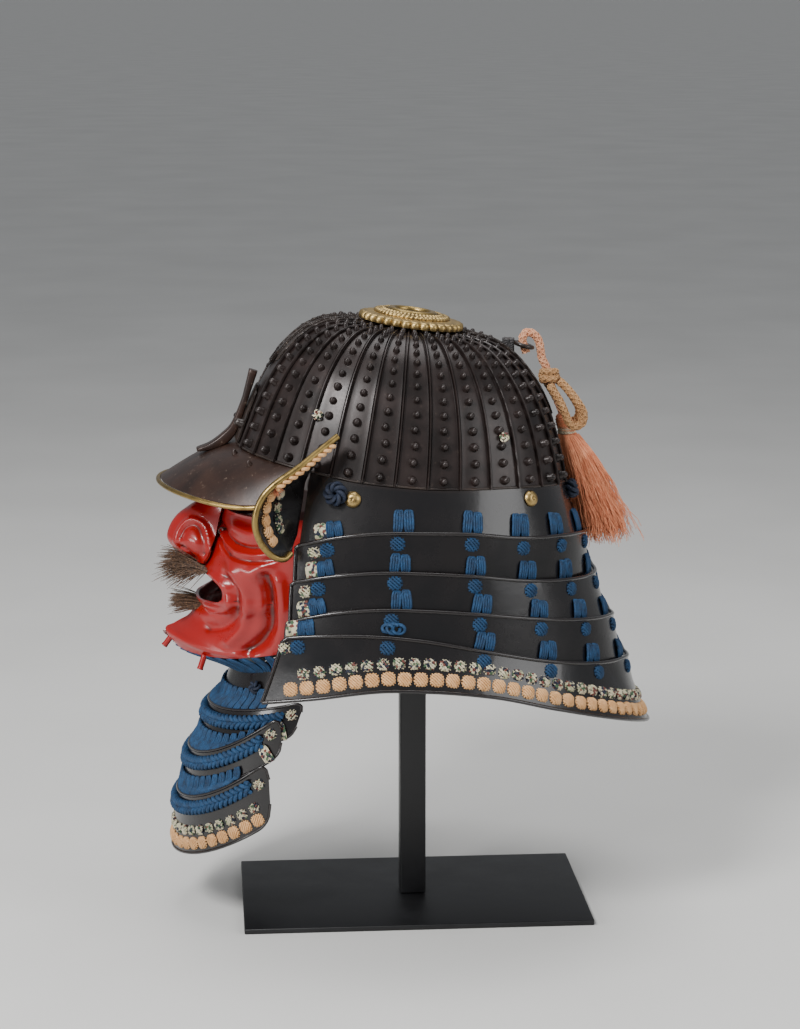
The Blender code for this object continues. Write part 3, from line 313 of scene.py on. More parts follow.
# %% Urushi lacquer
def lacquer(name, colour, worn, roughness, wear=0.0):
    """Polished lacquer with dust specks, a slow waviness, dark folds and wear on its edges."""
    made, node, place = finish(name, colour, roughness, 0.0, coat_weight=0.35, coat_roughness=0.06)
    specks = node("TexNoise", {"Scale": 1 / (1.1 * MM), "Detail": 2.0}, {"Vector": place})
    cloud = node("TexNoise", {"Scale": 1 / (30 * MM), "Detail": 5.0, "Roughness": 0.6}, {"Vector": place})
    spots = node("MapRange", {"From Min": 0.72, "From Max": 0.78, "To Max": 0.5}, {"Value": specks})
    sharp = node("NewGeometry", gives="Pointiness")
    rubbed = node("MapRange", {"From Min": 0.53, "From Max": 0.60, "To Max": wear}, {"Value": sharp})
    hollow = node("MapRange", {"From Min": 0.485, "From Max": 0.45, "To Max": 0.75}, {"Value": sharp})
    most = node("Math", {"operation": "MAXIMUM"}, {0: spots, 1: rubbed})
    deep = node("ValToRGB", {}, {"Fac": cloud}, [(0.3, colour), (0.75, worn)])
    tinted = node("Mix", {"data_type": "RGBA", 0: 0.25, 6: linear(colour)}, {7: deep})
    grimy = node("Mix", {"data_type": "RGBA", 7: linear("#1a0c09")}, {0: hollow, 6: tinted})
    mixed = node("Mix", {"data_type": "RGBA", 7: linear(worn)}, {0: most, 6: grimy})
    level = node("MapRange", {"To Min": roughness - 0.05, "To Max": roughness + 0.1}, {"Value": cloud})
    slow = node("Bump", {"Distance": 1.2 * MM, "Strength": 0.25}, {"Height": cloud})
    fine = node("Bump", {"Distance": 0.02 * MM, "Strength": 0.3}, {"Height": specks, "Normal": slow})
    return feed(made, base_color=mixed, roughness=level, normal=fine)


black_lacquer = lacquer("black_urushi_lacquer", "#09080a", "#241a17", 0.24, 0.5)
red_lacquer = lacquer("red_urushi_lacquer", "#960b09", "#6e170d", 0.27, 0.4)
dark_red = lacquer("red_urushi_lacquer_inside", "#4a0b08", "#2c0d0a", 0.5)

# %% [markdown]
# The crown ornament, the rims and the studs are gilded copper alloy, stamped and chased. The gold is
# rubbed thin on the high places and brown in the hollows.

# %% Gilt brass
def gilt(name, bright, hollow, roughness):
    """Gilded brass with darker hollows and a fine scratched grain."""
    made, node, place = finish(name, bright, roughness, 1.0)
    patches = node("TexNoise", {"Scale": 1 / (6 * MM), "Detail": 6.0, "Roughness": 0.65}, {"Vector": place})
    grain = node("TexNoise", {"Scale": 1 / (0.7 * MM), "Detail": 3.0}, {"Vector": place})
    sharp = node("NewGeometry", gives="Pointiness")
    low = node("MapRange", {"From Min": 0.42, "From Max": 0.5}, {"Value": sharp})
    both = node("Math", {"operation": "MULTIPLY"}, {0: low, 1: patches})
    colour = node("ValToRGB", {}, {"Fac": both}, [(0.12, hollow), (0.5, bright)])
    level = node("MapRange", {"To Min": roughness - 0.08, "To Max": roughness + 0.18}, {"Value": patches})
    fine = node("Bump", {"Distance": 0.04 * MM, "Strength": 0.5}, {"Height": grain})
    return feed(made, base_color=colour, roughness=level, normal=fine)


brass = gilt("gilt_brass", "#b09663", "#4a3922", 0.34)
rim_brass = gilt("rubbed_gilt_brass_rim", "#9a8250", "#40341f", 0.30)

# %% [markdown]
# The laces are braided silk, dyed with indigo or madder. Each lace is built as the ridges of its
# braid, and the finer threads, about half a millimetre, are drawn as bump. Silk has a soft sheen, and
# shade is painted into the colour between the ridges, darkest in the deepest grooves.

# %% Braided silk
def braid_finish(made, node, colour, threads, darkest_painted_shade, depth, strength):
    """Paints shade into the grooves between a braid's ridges and draws its threads as bump."""
    sharp = node("NewGeometry", gives="Pointiness")
    # Painted shade: the colour is darkened where the braid is concave, in the grooves between its ridges.
    painted_groove_shade = node("MapRange", {"From Min": 0.40, "From Max": 0.52, "To Min": darkest_painted_shade}, {"Value": sharp})
    shade = node("Mix", {"data_type": "RGBA", "blend_type": "MULTIPLY", 0: 1.0}, {6: colour, 7: painted_groove_shade})
    fine = node("Bump", {"Distance": depth, "Strength": strength}, {"Height": threads})
    return feed(made, base_color=shade, normal=fine)


def silk(name, dark, light, thread=0.5 * MM):
    """Braided silk: threads as bump, with a soft sheen."""
    made, node, place = finish(name, dark, 0.72, sheen_weight=0.15, sheen_roughness=0.4,
                               sheen_tint=linear(light))
    wide = node("TexNoise", {"Scale": 1 / (5 * MM), "Detail": 3.0}, {"Vector": place})
    along = node("Mapping", {"Scale": (1.0, 1.0, 0.45)}, {"Vector": place})
    threads = node("TexNoise", {"Scale": 1 / thread, "Detail": 3.0, "Roughness": 0.6}, {"Vector": along})
    mixed = node("Mix", {"data_type": "FLOAT", 0: 0.6}, {2: wide, 3: threads})
    colour = node("ValToRGB", {}, {"Fac": mixed}, [(0.36, dark), (0.66, light)])
    # 0.3 is how dark the painted shade in the grooves gets.
    return braid_finish(made, node, colour, threads, 0.3, 0.35 * MM, 0.8)


indigo = silk("indigo_dyed_silk", "#061c33", "#154a75")
navy = silk("dark_indigo_silk", "#070e1c", "#16243d")
peach = silk("madder_faded_silk", "#c08a52", "#e8bd8a")
rose_peach = silk("madder_silk_cord", "#c07f5c", "#e6b490")
tan_silk = silk("faded_tan_silk_cord", "#96693f", "#c9a072")
cream = silk("undyed_silk", "#a8977a", "#d8ccb2")
orange = silk("orange_dyed_silk_tassel", "#c0653f", "#efa67c", 0.35 * MM)
grey_silk = silk("grey_silk_wrap", "#2b2a2c", "#5a5757")


def flecked_silk(name):
    """A many-coloured braid: white, green, rust and dark threads cross in small flecks."""
    made, node, place = finish(name, "#d8cfb8", 0.75, sheen_weight=0.15)
    cells = node("TexVoronoi", {"Scale": 1 / (1.9 * MM), "Randomness": 0.75}, {"Vector": place},
                 gives="Color")
    pick = node("SeparateColor", {}, {"Color": cells})
    threads = node("TexNoise", {"Scale": 1 / (0.5 * MM), "Detail": 3.0}, {"Vector": place})
    hue = node("ValToRGB", {}, {"Fac": pick},
               [(0.0, "#c9c0a4"), (0.40, "#131a30"), (0.62, "#b3b08f"), (0.76, "#3d5a3e"), (0.88, "#6e3a30")])
    hue.node.color_ramp.interpolation = "CONSTANT"
    # 0.25 is how dark the painted shade in the grooves gets.
    return braid_finish(made, node, hue, threads, 0.25, 0.3 * MM, 0.7)


flecked = flecked_silk("many_coloured_braid")

# %% [markdown]
# The stand is cut from mild steel plate and square tube and sprayed satin black. Fine spray leaves an
# even orange-peel skin that breaks up its reflections.

# %% Black painted steel
def sprayed_steel(name):
    """Satin black paint on steel."""
    made, node, place = finish(name, "#0b0b0d", 0.42)
    peel = node("TexNoise", {"Scale": 1 / (0.9 * MM), "Detail": 2.0}, {"Vector": place})
    dust = node("TexNoise", {"Scale": 1 / (35 * MM), "Detail": 6.0, "Roughness": 0.7}, {"Vector": place})
    colour = node("ValToRGB", {}, {"Fac": dust}, [(0.4, "#0a0a0c"), (0.8, "#19191b")])
    level = node("MapRange", {"To Min": 0.34, "To Max": 0.55}, {"Value": dust})
    fine = node("Bump", {"Distance": 0.05 * MM, "Strength": 0.4}, {"Height": peel})
    return feed(made, base_color=colour, roughness=level, normal=fine)


steel = sprayed_steel("satin_black_steel")

# %% [markdown]
# A camera stands where the photographer's did: level with the neck guard, a little above it, with a
# long lens. Four soft lights and a pale floor keep the black lacquer readable.

# %% Camera
AZIMUTH, ELEVATION = math.radians(85.636), math.radians(11.27)
DISTANCE = 1.8991
TARGET = Vector((0.0, -0.00902, 0.29137))
towards = Vector((math.sin(AZIMUTH) * math.cos(ELEVATION), -math.cos(AZIMUTH) * math.cos(ELEVATION),
                  math.sin(ELEVATION)))
lens = bpy.data.cameras.new("camera")
lens.lens = 91.09
lens.sensor_fit = "VERTICAL"
lens.sensor_height = 36.0
camera = bpy.data.objects.new("camera", lens)
camera.location = TARGET + towards * DISTANCE
camera.rotation_euler = towards.to_track_quat("Z", "Y").to_euler()
bpy.context.scene.collection.objects.link(camera)
bpy.context.scene.camera = camera
print("camera at", [round(v, 3) for v in camera.location])


# %% Floor and lights
FLOOR_HALF = 1000.0     # metres, so that its edge is never in the picture
ROOM_COLOUR, ROOM_STRENGTH = "#dfe2e6", 0.42
LIGHTS = {"key": ((1.2, -0.9, 1.5), 0.5, 36), "fill": ((0.9, 1.3, 0.9), 1.0, 11),
          "top": ((-0.3, 0.1, 1.9), 1.2, 18), "front": ((0.9, -1.4, 0.5), 0.45, 9)}


def studio():
    """A pale floor, a pale room and soft lights, each with its place, size and power."""
    made, node, place = finish("pale_floor", "#d9d8d5", 0.8)
    mottled = node("TexNoise", {"Scale": 1 / 0.3, "Detail": 3.0}, {"Vector": place})
    feed(made, base_color=node("ValToRGB", {}, {"Fac": mottled}, [(0.3, "#d4d3d0"), (0.7, "#dcdbd8")]))
    mesh = bpy.data.meshes.new("floor")
    mesh.from_pydata([(x * FLOOR_HALF, y * FLOOR_HALF, 0) for x, y in ((-1, -1), (1, -1), (1, 1), (-1, 1))],
                     [], [(0, 1, 2, 3)])
    floor = bpy.data.objects.new("floor", mesh)
    bpy.context.scene.collection.objects.link(floor)
    mesh.materials.append(made)
    world = bpy.data.worlds.new("room")
    world.use_nodes = True
    room = world.node_tree.nodes["Background"].inputs
    room["Color"].default_value, room["Strength"].default_value = linear(ROOM_COLOUR), ROOM_STRENGTH
    bpy.context.scene.world = world
    for name, (spot, size, power) in LIGHTS.items():
        lamp = bpy.data.lights.new(name, "AREA")
        lamp.size, lamp.energy = size, power
        thing = bpy.data.objects.new(name, lamp)
        thing.location = spot
        thing.rotation_euler = (Vector(spot) - TARGET).to_track_quat("Z", "Y").to_euler()
        bpy.context.scene.collection.objects.link(thing)


studio()

# %% [markdown]
# Behind the crown a silk cord is drawn through a ring and tied in a bow, with a tassel on its tail.
# Each cord is a round braid: eight strands wind one way and eight the other, and pass over and under.
# Winding real strands round the route gives the braid its true edge, which a bump can't.

# %% Cord routes and the braid
CORD = 6.2 * MM
CORD_ROUTE = [
    (0.0, 0.0825, 0.4095), (0.0, 0.0808, 0.4145), (0.0, 0.0797, 0.4195), (0.0, 0.0822, 0.4238),
    (0.0, 0.0872, 0.4232), (0.0, 0.0914, 0.4183), (0.0, 0.0930, 0.4110), (0.0, 0.0940, 0.4050),
    (0.0, 0.0963, 0.4006), (0.0, 0.0993, 0.3923), (0.0, 0.1016, 0.3832), (0.0, 0.1045, 0.3780),
    (0.0, 0.1066, 0.3720), (0.0, 0.1092, 0.3660), (0.0, 0.1125, 0.3560),
]
LOOP_ROUTE = [
    (0.0047, 0.1063, 0.3883), (0.0064, 0.1090, 0.3866), (0.0095, 0.1145, 0.3805), (0.0112, 0.1195, 0.3735),
    (0.0117, 0.1232, 0.3665), (0.0117, 0.1225, 0.3598), (0.0117, 0.1172, 0.3567), (0.0117, 0.1125, 0.3600),
    (0.0117, 0.1098, 0.3665), (0.0112, 0.1065, 0.3740), (0.0098, 0.1025, 0.3808), (0.0084, 0.1000, 0.3848),
    (0.0072, 0.0993, 0.3859),
]
ROUTE_POINTS = 70
KNOT_CENTRE = np.array([0.0, 0.0993, 0.3923])


def ring_line(across, deep, count, rise=0.0):
    """A level ring about zero as a line; its height may change round it."""
    turn = np.linspace(0, TAU, count)
    return np.stack([across * np.sin(turn), deep * np.cos(turn), rise * np.sin(turn)], 1)


def carried_frames(route):
    """Two axes across a route that don't twist from one point to the next."""
    along = unit(np.gradient(route, axis=0))
    side = np.zeros_like(route)
    start = np.cross(along[0], (0.3, 0.5, 0.81))
    side[0] = start / np.linalg.norm(start)
    for k in range(1, len(route)):
        step = side[k - 1] - along[k] * (side[k - 1] @ along[k])
        side[k] = step / np.linalg.norm(step)
    return side, np.cross(along, side)


def cord_frames(route, step):
    """A route as a line in even steps, with two axes across it and the length so far."""
    length = line_length(route)
    count = max(12, int(length / step))
    line = smooth_line(route, count)
    return line, *carried_frames(line), np.linspace(0, length, count)


def braided(route, diameter, strands=8, lay=2.6, sides=5):
    """A round braid: half of the strands wind each way, over and under."""
    line, side, rise, along = cord_frames(route, 0.55 * MM)
    core = diameter * 0.36
    parts = [bar(line, core, 8)]
    for k in range(strands):
        way = 1 if k % 2 else -1
        phase = TAU * (k // 2) / (strands // 2)
        turn = way * along / (lay * diameter) * TAU + phase
        over = diameter * 0.028 * np.sin(along / (lay * diameter) * TAU * strands + way * math.pi / 2)
        reach = (core + diameter * 0.045 + over)[:, None]
        path = line + (side * np.cos(turn)[:, None] + rise * np.sin(turn)[:, None]) * reach
        parts.append(bar(path, diameter * 0.115, sides, 0.7, path - line))
    return joined(parts)


def twisted(route, diameter, strands=3, lay=1.8, sides=7):
    """A laid rope of a few thick strands."""
    line, side, rise, along = cord_frames(route, 0.6 * MM)
    parts = []
    for k in range(strands):
        turn = along / (lay * diameter) * TAU + TAU * k / strands
        path = line + (side * np.cos(turn)[:, None] + rise * np.sin(turn)[:, None]) * diameter * 0.26
        parts.append(bar(path, diameter * 0.26, sides, 1.0, path - line))
    return joined(parts)


# %% The bow's cords and knot
def build_bow():
    """The cord over the top, the two loops and the knot that holds them."""
    main = smooth_line(CORD_ROUTE, ROUTE_POINTS)
    piece = make("bow_main_cord", [braided(main, CORD)], rose_peach, ["bow_cord"])
    loops = []
    for tag, side in (("left", 1), ("right", -1)):
        route = smooth_line(LOOP_ROUTE, ROUTE_POINTS) * (side, 1, 1)
        loop = make(f"bow_side_loop_{tag}", [braided(route, CORD)], tan_silk,
                    [f"bow_loop_{tag}"])
        loops.append((loop, route))
    turns = []
    for lift, half, lean in ((-0.0030, 0.0058, 0.0012), (0.0, 0.0064, -0.0010), (0.0030, 0.0056, 0.0008)):
        ring = ring_line(half, half * 0.85, 40, lean) + (0, 0, lift)
        turns.append(braided(KNOT_CENTRE + ring, CORD * 0.82))
    knot = make("bow_wound_knot", turns, tan_silk, ["bow_knot"])
    return (piece, main), loops, knot


bow_cord, bow_loops, bow_knot = build_bow()

# %% [markdown]
# The tassel is a head of wound silk and a skirt of loose threads. A thousand single threads would be
# too heavy as round bars, so each strand here stands for a few threads and has four sides. Their ends
# fray apart, and a few stray ones stand off.

# %% The tassel
TASSEL_NECK = np.array([0.0, 0.1128, 0.3535])
TASSEL_LINE = [(0.0, 0.1136, 0.3495), (0.0, 0.1195, 0.3360), (0.0, 0.1250, 0.3220), (0.0, 0.1315, 0.3040),
               (0.0, 0.1385, 0.2840), (0.0, 0.1400, 0.2700)]
TASSEL_SPREAD = [0.0060, 0.0105, 0.0125, 0.0135, 0.0145, 0.0150]
TASSEL_STRANDS, TASSEL_STRAYS = 1300, 0.14
STRAND_STEPS, STRAND_RADII = 14, (0.36 * MM, 0.18 * MM)
HEAD_RADII = [3.92, 4.34, 4.76, 4.90, 4.69, 4.20, 3.36]     # millimetres, from the lowest turn up


def build_tassel():
    """The wound head and the skirt of strands."""
    steps = np.linspace(0, 1, 12)
    spine = smooth_line(TASSEL_LINE, len(steps))
    spread = np.interp(steps, np.linspace(0, 1, len(TASSEL_SPREAD)), TASSEL_SPREAD)
    parts = []
    for strand in range(TASSEL_STRANDS):
        angle, inner = rng.uniform(0, TAU), math.sqrt(rng.uniform(0.02, 1.0))
        t = np.linspace(0, rng.uniform(0.72, 1.0), STRAND_STEPS)
        stray = 0.75 if rng.random() < TASSEL_STRAYS else 0.0
        path = np.stack([np.interp(t, steps, spine[:, k]) for k in range(3)], 1)
        wide = np.interp(t, steps, spread) * inner * (1.22 + stray * t**2) * (1 + 0.10 * math.sin(7 * angle))
        for k, share in enumerate((math.sin(angle), math.cos(angle))):
            sway = rng.uniform(0.0006, 0.0032) * t * np.sin(t * rng.uniform(8, 24) + rng.uniform(0, TAU))
            path[:, k] += wide * share + sway
        parts.append(bar(path, np.linspace(*STRAND_RADII, STRAND_STEPS), 4))
    for radius, lift in zip(HEAD_RADII, np.linspace(-0.0030, 0.0085, len(HEAD_RADII))):
        ring = ring_line(radius * MM, radius * MM, 24)
        parts.append(bar(TASSEL_NECK + (0, -0.35 * lift, lift) + ring, 2.1 * MM, 6))
    return make("tassel_silk", parts, orange, ["tassel"])


tassel = build_tassel()
collar = [twisted(TASSEL_NECK + shift + ring_line(5.4 * MM, 5.4 * MM, 30), 3.0 * MM)
          for shift in ((0, 0, -0.0022), (0, -0.0002, 0.0006))]
tassel_collar = make("tassel_collar", collar, cream)

for loop, route in bow_loops:
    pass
print("bow cord", round(line_length(bow_cord[1]) / MM), "mm, each loop", round(line_length(route) / MM), "mm")

# %% [markdown]
# The bowl is 32 tapering plates, riveted edge over edge; each plate's rear edge is turned up into a
# standing ridge. The plan is an egg-shaped superellipse and the side view one smooth curve, so a grid
# of points from two formulas gives the whole bowl, with the ridges as extra columns.

# %% The bowl's form
PLATES = 32
WIDE_PLATES = 3
BOWL_HALF_WIDTH, BOWL_HALF_LENGTH = 0.102, 0.1197
BOWL_CENTRE_Y, CROWN_SHIFT = 0.0009, -0.0062
BOWL_HEIGHT = 0.0965
BOWL_EXPONENT = 2.35
BOWL_MIDDLE = placed((0, 0, 0.03))
SKIRT_DROP, SKIRT_INSET, BOWL_WALL = 0.014, 0.0023, 0.002
# The side view from the rim up: shares of the plan's radius and of the bowl's height
BOWL_ROWS = np.array([
    (1.0, 0.0), (0.957, 0.19), (0.908, 0.37), (0.84, 0.56), (0.76, 0.715),
    (0.65, 0.86), (0.52, 0.955), (0.36, 0.99), (0.19, 1.0),
])
MERIDIAN = smooth_line(BOWL_ROWS, 200)
MERIDIAN_STEPS = np.linspace(0, 1, len(MERIDIAN))
# Degrees from the rear, and the rim's height there in metres
RIM_WAVE = np.array([
    (0, 0.0020), (20, 0.0040), (40, 0.0045), (60, 0.0030), (75, 0.0000),
    (90, -0.0030), (105, -0.0040), (122, -0.0025), (150, -0.0010), (180, -0.0010),
])


def smooth_value(stops, values, place):
    """A smooth curve through a table's values, read at one or many places."""
    stops, values, place = np.asarray(stops, float), np.asarray(values, float), np.asarray(place, float)
    k = np.clip(np.searchsorted(stops, place) - 1, 0, len(stops) - 2)
    slopes = np.gradient(values, stops)
    wide = stops[k + 1] - stops[k]
    u = (place - stops[k]) / wide
    return (values[k] * (1 + 2 * u) * (1 - u) ** 2 + values[k + 1] * u**2 * (3 - 2 * u)
            + wide * (slopes[k] * u * (1 - u) ** 2 - slopes[k + 1] * u**2 * (1 - u)))


def oval(angle, half_width, half_length, exponent):
    """Points of a superellipse; the angle runs from the rear towards the wearer's left."""
    s, c = np.sin(angle), np.cos(angle)
    return (half_width * np.sign(s) * np.abs(s) ** (2 / exponent),
            half_length * np.sign(c) * np.abs(c) ** (2 / exponent))


def rim_height(angle):
    """Height of the bowl's rim at an angle from the rear."""
    turn = np.abs(np.degrees(angle)) % 360
    return smooth_value(RIM_WAVE[:, 0], RIM_WAVE[:, 1], np.minimum(turn, 360 - turn))


def rim_angles(shares):
    """Angles that divide the bowl's plan into equal lengths, counted from the front."""
    angles = np.linspace(0, TAU, 1441)
    ring = np.stack(oval(angles, BOWL_HALF_WIDTH, BOWL_HALF_LENGTH, BOWL_EXPONENT), 1)
    along = lengths_along(ring)
    return np.interp((np.asarray(shares) + 0.5) % 1.0, along / along[-1], angles)


def bowl_at(shares, rise, lift=0.0):
    """Points of the bowl: shares of the way round, share of the way up the meridian, lift off it."""
    shares, rise, lift = np.broadcast_arrays(np.asarray(shares, float), rise, lift)
    radius, height = (np.interp(rise, MERIDIAN_STEPS, MERIDIAN[:, k]) for k in (0, 1))
    angle = rim_angles(shares)
    x, y = oval(angle, (BOWL_HALF_WIDTH + lift) * radius, (BOWL_HALF_LENGTH + lift) * radius, BOWL_EXPONENT)
    grown = 1 + lift * (1 - radius) * height * 0.6 / np.maximum(np.hypot(x, y), 1e-6)
    z = (BOWL_HEIGHT + lift) * height + rim_height(angle) * (1 - height) ** 2
    return np.stack([x * grown, y * grown + BOWL_CENTRE_Y + CROWN_SHIFT * height**1.5, z], -1)


RIDGES = [(WIDE_PLATES / 2 + i) / PLATES for i in range(PLATES // 2 - WIDE_PLATES + 1)]
RIDGES += [1 - r for r in reversed(RIDGES)]
RIDGE_PROFILE = [(-1.9, 0.0), (-0.75, 0.10), (-0.60, 0.80), (-0.35, 1.0), (0.30, 1.0), (0.55, 0.75),
                 (0.75, 0.10), (1.9, 0.0)]     # millimetres across, and the share of its height
RIDGE_HEIGHT, BOWL_LEVELS = 2.5 * MM, 64
CROWN_RADIUS = BOWL_ROWS[-1, 0]
RIM_LENGTH = 0.70


def ridge_columns(radius):
    """Shares of the way round for a row of the bowl, each with its share of a ridge's height."""
    columns = []
    for k, ridge in enumerate(RIDGES):
        scale = MM * (0.45 + 0.55 * radius) / (RIM_LENGTH * radius)
        columns += [(ridge + across * scale, high) for across, high in RIDGE_PROFILE]
        after = RIDGES[(k + 1) % len(RIDGES)] + (1 if k == len(RIDGES) - 1 else 0)
        count = 9 if after - ridge > 1.5 / PLATES else 4
        start, stop = ridge + RIDGE_PROFILE[-1][0] * scale, after + RIDGE_PROFILE[0][0] * scale
        columns += [(start + (stop - start) * (m + 1) / (count + 1), 0.0) for m in range(count)]
    return np.array(columns)


def build_bowl():
    """The riveted bowl with its standing ridges and its lower band."""
    rows = []
    for rise in np.linspace(0, 1, BOWL_LEVELS):
        radius = np.interp(rise, MERIDIAN_STEPS, MERIDIAN[:, 0])
        columns = ridge_columns(max(radius, CROWN_RADIUS))
        rows.append(bowl_at(columns[:, 0], rise, columns[:, 1] * RIDGE_HEIGHT * (0.35 + 0.65 * radius)))
    flat = bowl_at(ridge_columns(1.0)[:, 0], 0.0, -SKIRT_INSET)
    rows = [flat - np.array([0, 0, SKIRT_DROP]), flat - np.array([0, 0, 0.0008])] + rows
    body = wall(placed(np.array(rows)), BOWL_WALL, BOWL_MIDDLE, closed=True)
    make("bowl_plates", [body], iron, ["bowl"])


build_bowl()


# %% Where a piece sits on the bowl
RISE_STEPS = np.linspace(0, 1, 201)


def bowl_frames(shares, rises, lift=0.0):
    """Places on the bowl with axes across, up and out, in the stand's frame."""
    step = 0.002
    here = placed(bowl_at(shares, rises, lift))
    across = unit(placed(bowl_at(np.asarray(shares) + step, rises, lift)) - here)
    up = unit(placed(bowl_at(shares, np.asarray(rises) + step, lift)) - here)
    out = unit(np.cross(across, up))
    if np.sum(out * (here - BOWL_MIDDLE)) < 0:
        out = -out
    return here, np.stack([across, np.cross(out, across), out], 1)


def meridian_length(share):
    """Lengths along the bowl from the rim up, at the steps of RISE_STEPS."""
    return lengths_along(placed(bowl_at(np.full(len(RISE_STEPS), share), RISE_STEPS)))


# %% [markdown]
# Fourteen rivets hold each plate to the next. They are high rounded cones, larger near the rim. One
# rivet is turned from a profile, and arrays repeat it at every place with its own size.

# %% Rivets of the bowl
RIVETS = 14
RIVET_FIRST, RIVET_LAST = 5.5 * MM, 0.36     # above the rim, and the radius share of the last one
RIVET_SIZES = (5.6, 3.5)                     # in millimetres, from the rim up
RIVET_PITCHES = (1.28, 0.72)                 # next to their mean, from the rim up
RIVET_PROFILE = [(0.62, -0.25), (0.60, 0.10), (0.50, 0.28), (0.47, 0.50), (0.40, 0.72), (0.27, 0.88),
                 (0.12, 0.96), (0.02, 0.98)]


def build_rivets():
    """The rivets along the 26 seams between the ridged plates."""
    spots, axes = [], []
    last = np.interp(-RIVET_LAST, -MERIDIAN[:, 0], MERIDIAN_STEPS)
    for k in range(2, PLATES - 1):
        if abs(k - PLATES / 2) < 2:
            continue
        lengths = meridian_length(k / PLATES)
        top = np.interp(last, RISE_STEPS, lengths)
        pitch = np.linspace(*RIVET_PITCHES, RIVETS - 1)
        along = RIVET_FIRST + np.concatenate([[0], np.cumsum(pitch)]) / pitch.sum() * (top - RIVET_FIRST)
        rises = np.interp(along, lengths, RISE_STEPS)
        here, frames = bowl_frames(np.full(RIVETS, k / PLATES) + rng.normal(0, 0.0004, RIVETS), rises)
        size = np.linspace(*RIVET_SIZES, RIVETS) * MM * rng.uniform(0.94, 1.06, RIVETS)
        spots.append(here)
        axes.append(frames * size[:, None, None])
    rivets = copies(turned(RIVET_PROFILE, 12), np.concatenate(spots), np.concatenate(axes))
    make("bowl_rivets", [rivets], iron)


build_rivets()

# %% [markdown]
# Over the smooth front plates lie three iron strips that end in cloud points, and one lies behind.
# Each has a fine rope of beads along both edges and a stippled field, so it is a raised plate with two
# rows of beads.

# %% Strips on the smooth plates
STRIP_TOP = 0.93
STIPPLE = 0.25 * MM     # finer in life, and drawn as coarse as it needs to show
STIPPLE_FROM = np.array([0, 0, 0.02])
FOOT_WIDTH, FOOT_STIPPLE = 44 * MM, 0.2 * MM


def strip(share, low, width_low, width_top, point):
    """A strip up the bowl with a cloud point at its lower end, and beads along its edges."""
    rises = np.linspace(low, STRIP_TOP, 60)
    radius = np.interp(rises, MERIDIAN_STEPS, MERIDIAN[:, 0])
    width = np.interp(rises, [low, STRIP_TOP], [width_low * MM, width_top * MM])
    lengths = meridian_length(share)
    along = np.interp(rises, RISE_STEPS, lengths)
    foot = (along - along[0]) / (point * MM)
    scallop = np.clip(foot, 0, 1) ** 0.6 * (1 + 0.28 * np.sin(np.clip(foot, 0, 1.6) * math.pi * 1.25) ** 2)
    width = width * np.where(foot < 1.6, scallop, 1.0)
    half = width / 2 / (RIM_LENGTH * np.maximum(radius, 0.3))
    across = np.linspace(-1, 1, 13)
    crown = (1 - np.abs(across) ** 6) * 0.5 * MM
    grid = bowl_at(share + half[:, None] * across, rises[:, None], (1.4 * MM + crown)[None, :])
    grit = np.where(np.abs(across)[None, :] < 0.8, rng.uniform(-1, 1, grid.shape[:2]), 0) * STIPPLE
    grid += unit(grid - STIPPLE_FROM) * grit[..., None]
    parts = [wall(placed(grid), 1.0 * MM, BOWL_MIDDLE)]
    for side in (-0.84, 0.84):
        line = bowl_at(share + half * side, rises, 2.0 * MM)
        parts.append(twisted(placed(line[4:]), 1.7 * MM, 2, 1.5, 5))
    return parts


def build_strips():
    """The front's three strips, the rear one and the plate at the front's foot."""
    make("front_middle_strip", strip(0.0, 0.40, 16, 11, 16), edge_iron, ["front_strip"])
    sides = strip(1.05 / PLATES, 0.46, 13, 6.5, 14) + strip(-1.05 / PLATES, 0.46, 13, 6.5, 14)
    make("front_side_strips", sides, edge_iron)
    make("rear_middle_strip", strip(0.5, 0.30, 15, 11, 12), edge_iron, ["rear_strip"])
    rises = np.linspace(0.015, 0.30, 30)
    edge = np.clip((rises - 0.015) / 0.285, 0, 1)
    top = np.where(edge > 0.8, np.sqrt(np.clip(1 - ((edge - 0.8) / 0.2) ** 2, 0.06, 1)), 1)
    half = FOOT_WIDTH * (1 - 0.30 * edge**2) * top / 2 / RIM_LENGTH
    grid = bowl_at(half[:, None] * np.linspace(-1, 1, 25), rises[:, None], 2.1 * MM)
    grit = rng.uniform(-1, 1, grid.shape[:2]) * FOOT_STIPPLE
    grid += unit(grid - STIPPLE_FROM) * grit[..., None]
    here, frames = bowl_frames([0.020, -0.020], [0.10, 0.10], 1.8 * MM)
    rivets = copies(turned(RIVET_PROFILE, 14), here, frames * 6.2 * MM)
    make("front_foot_plate", [wall(placed(grid), 1.2 * MM, BOWL_MIDDLE), rivets], edge_iron,
         ["front_cloud_plate"])


build_strips()

# A thin bar of iron closes the plates' lower edge
rim_line = placed(bowl_at(np.linspace(0, 1, 241), 0.0, 0.2 * MM) + np.array([0, 0, 0.3 * MM]))
make("bowl_rim_line", [bar(rim_line, 0.9 * MM, 8)], edge_iron)

# %% [markdown]
# Five curved iron lames, thick with black lacquer, hang from the bowl. Every edge of a lame has its
# own plan and its own height at each angle, so each lame flares more than the one above. The same
# tables as in the solids give them here, read at many more places for smooth reflections.

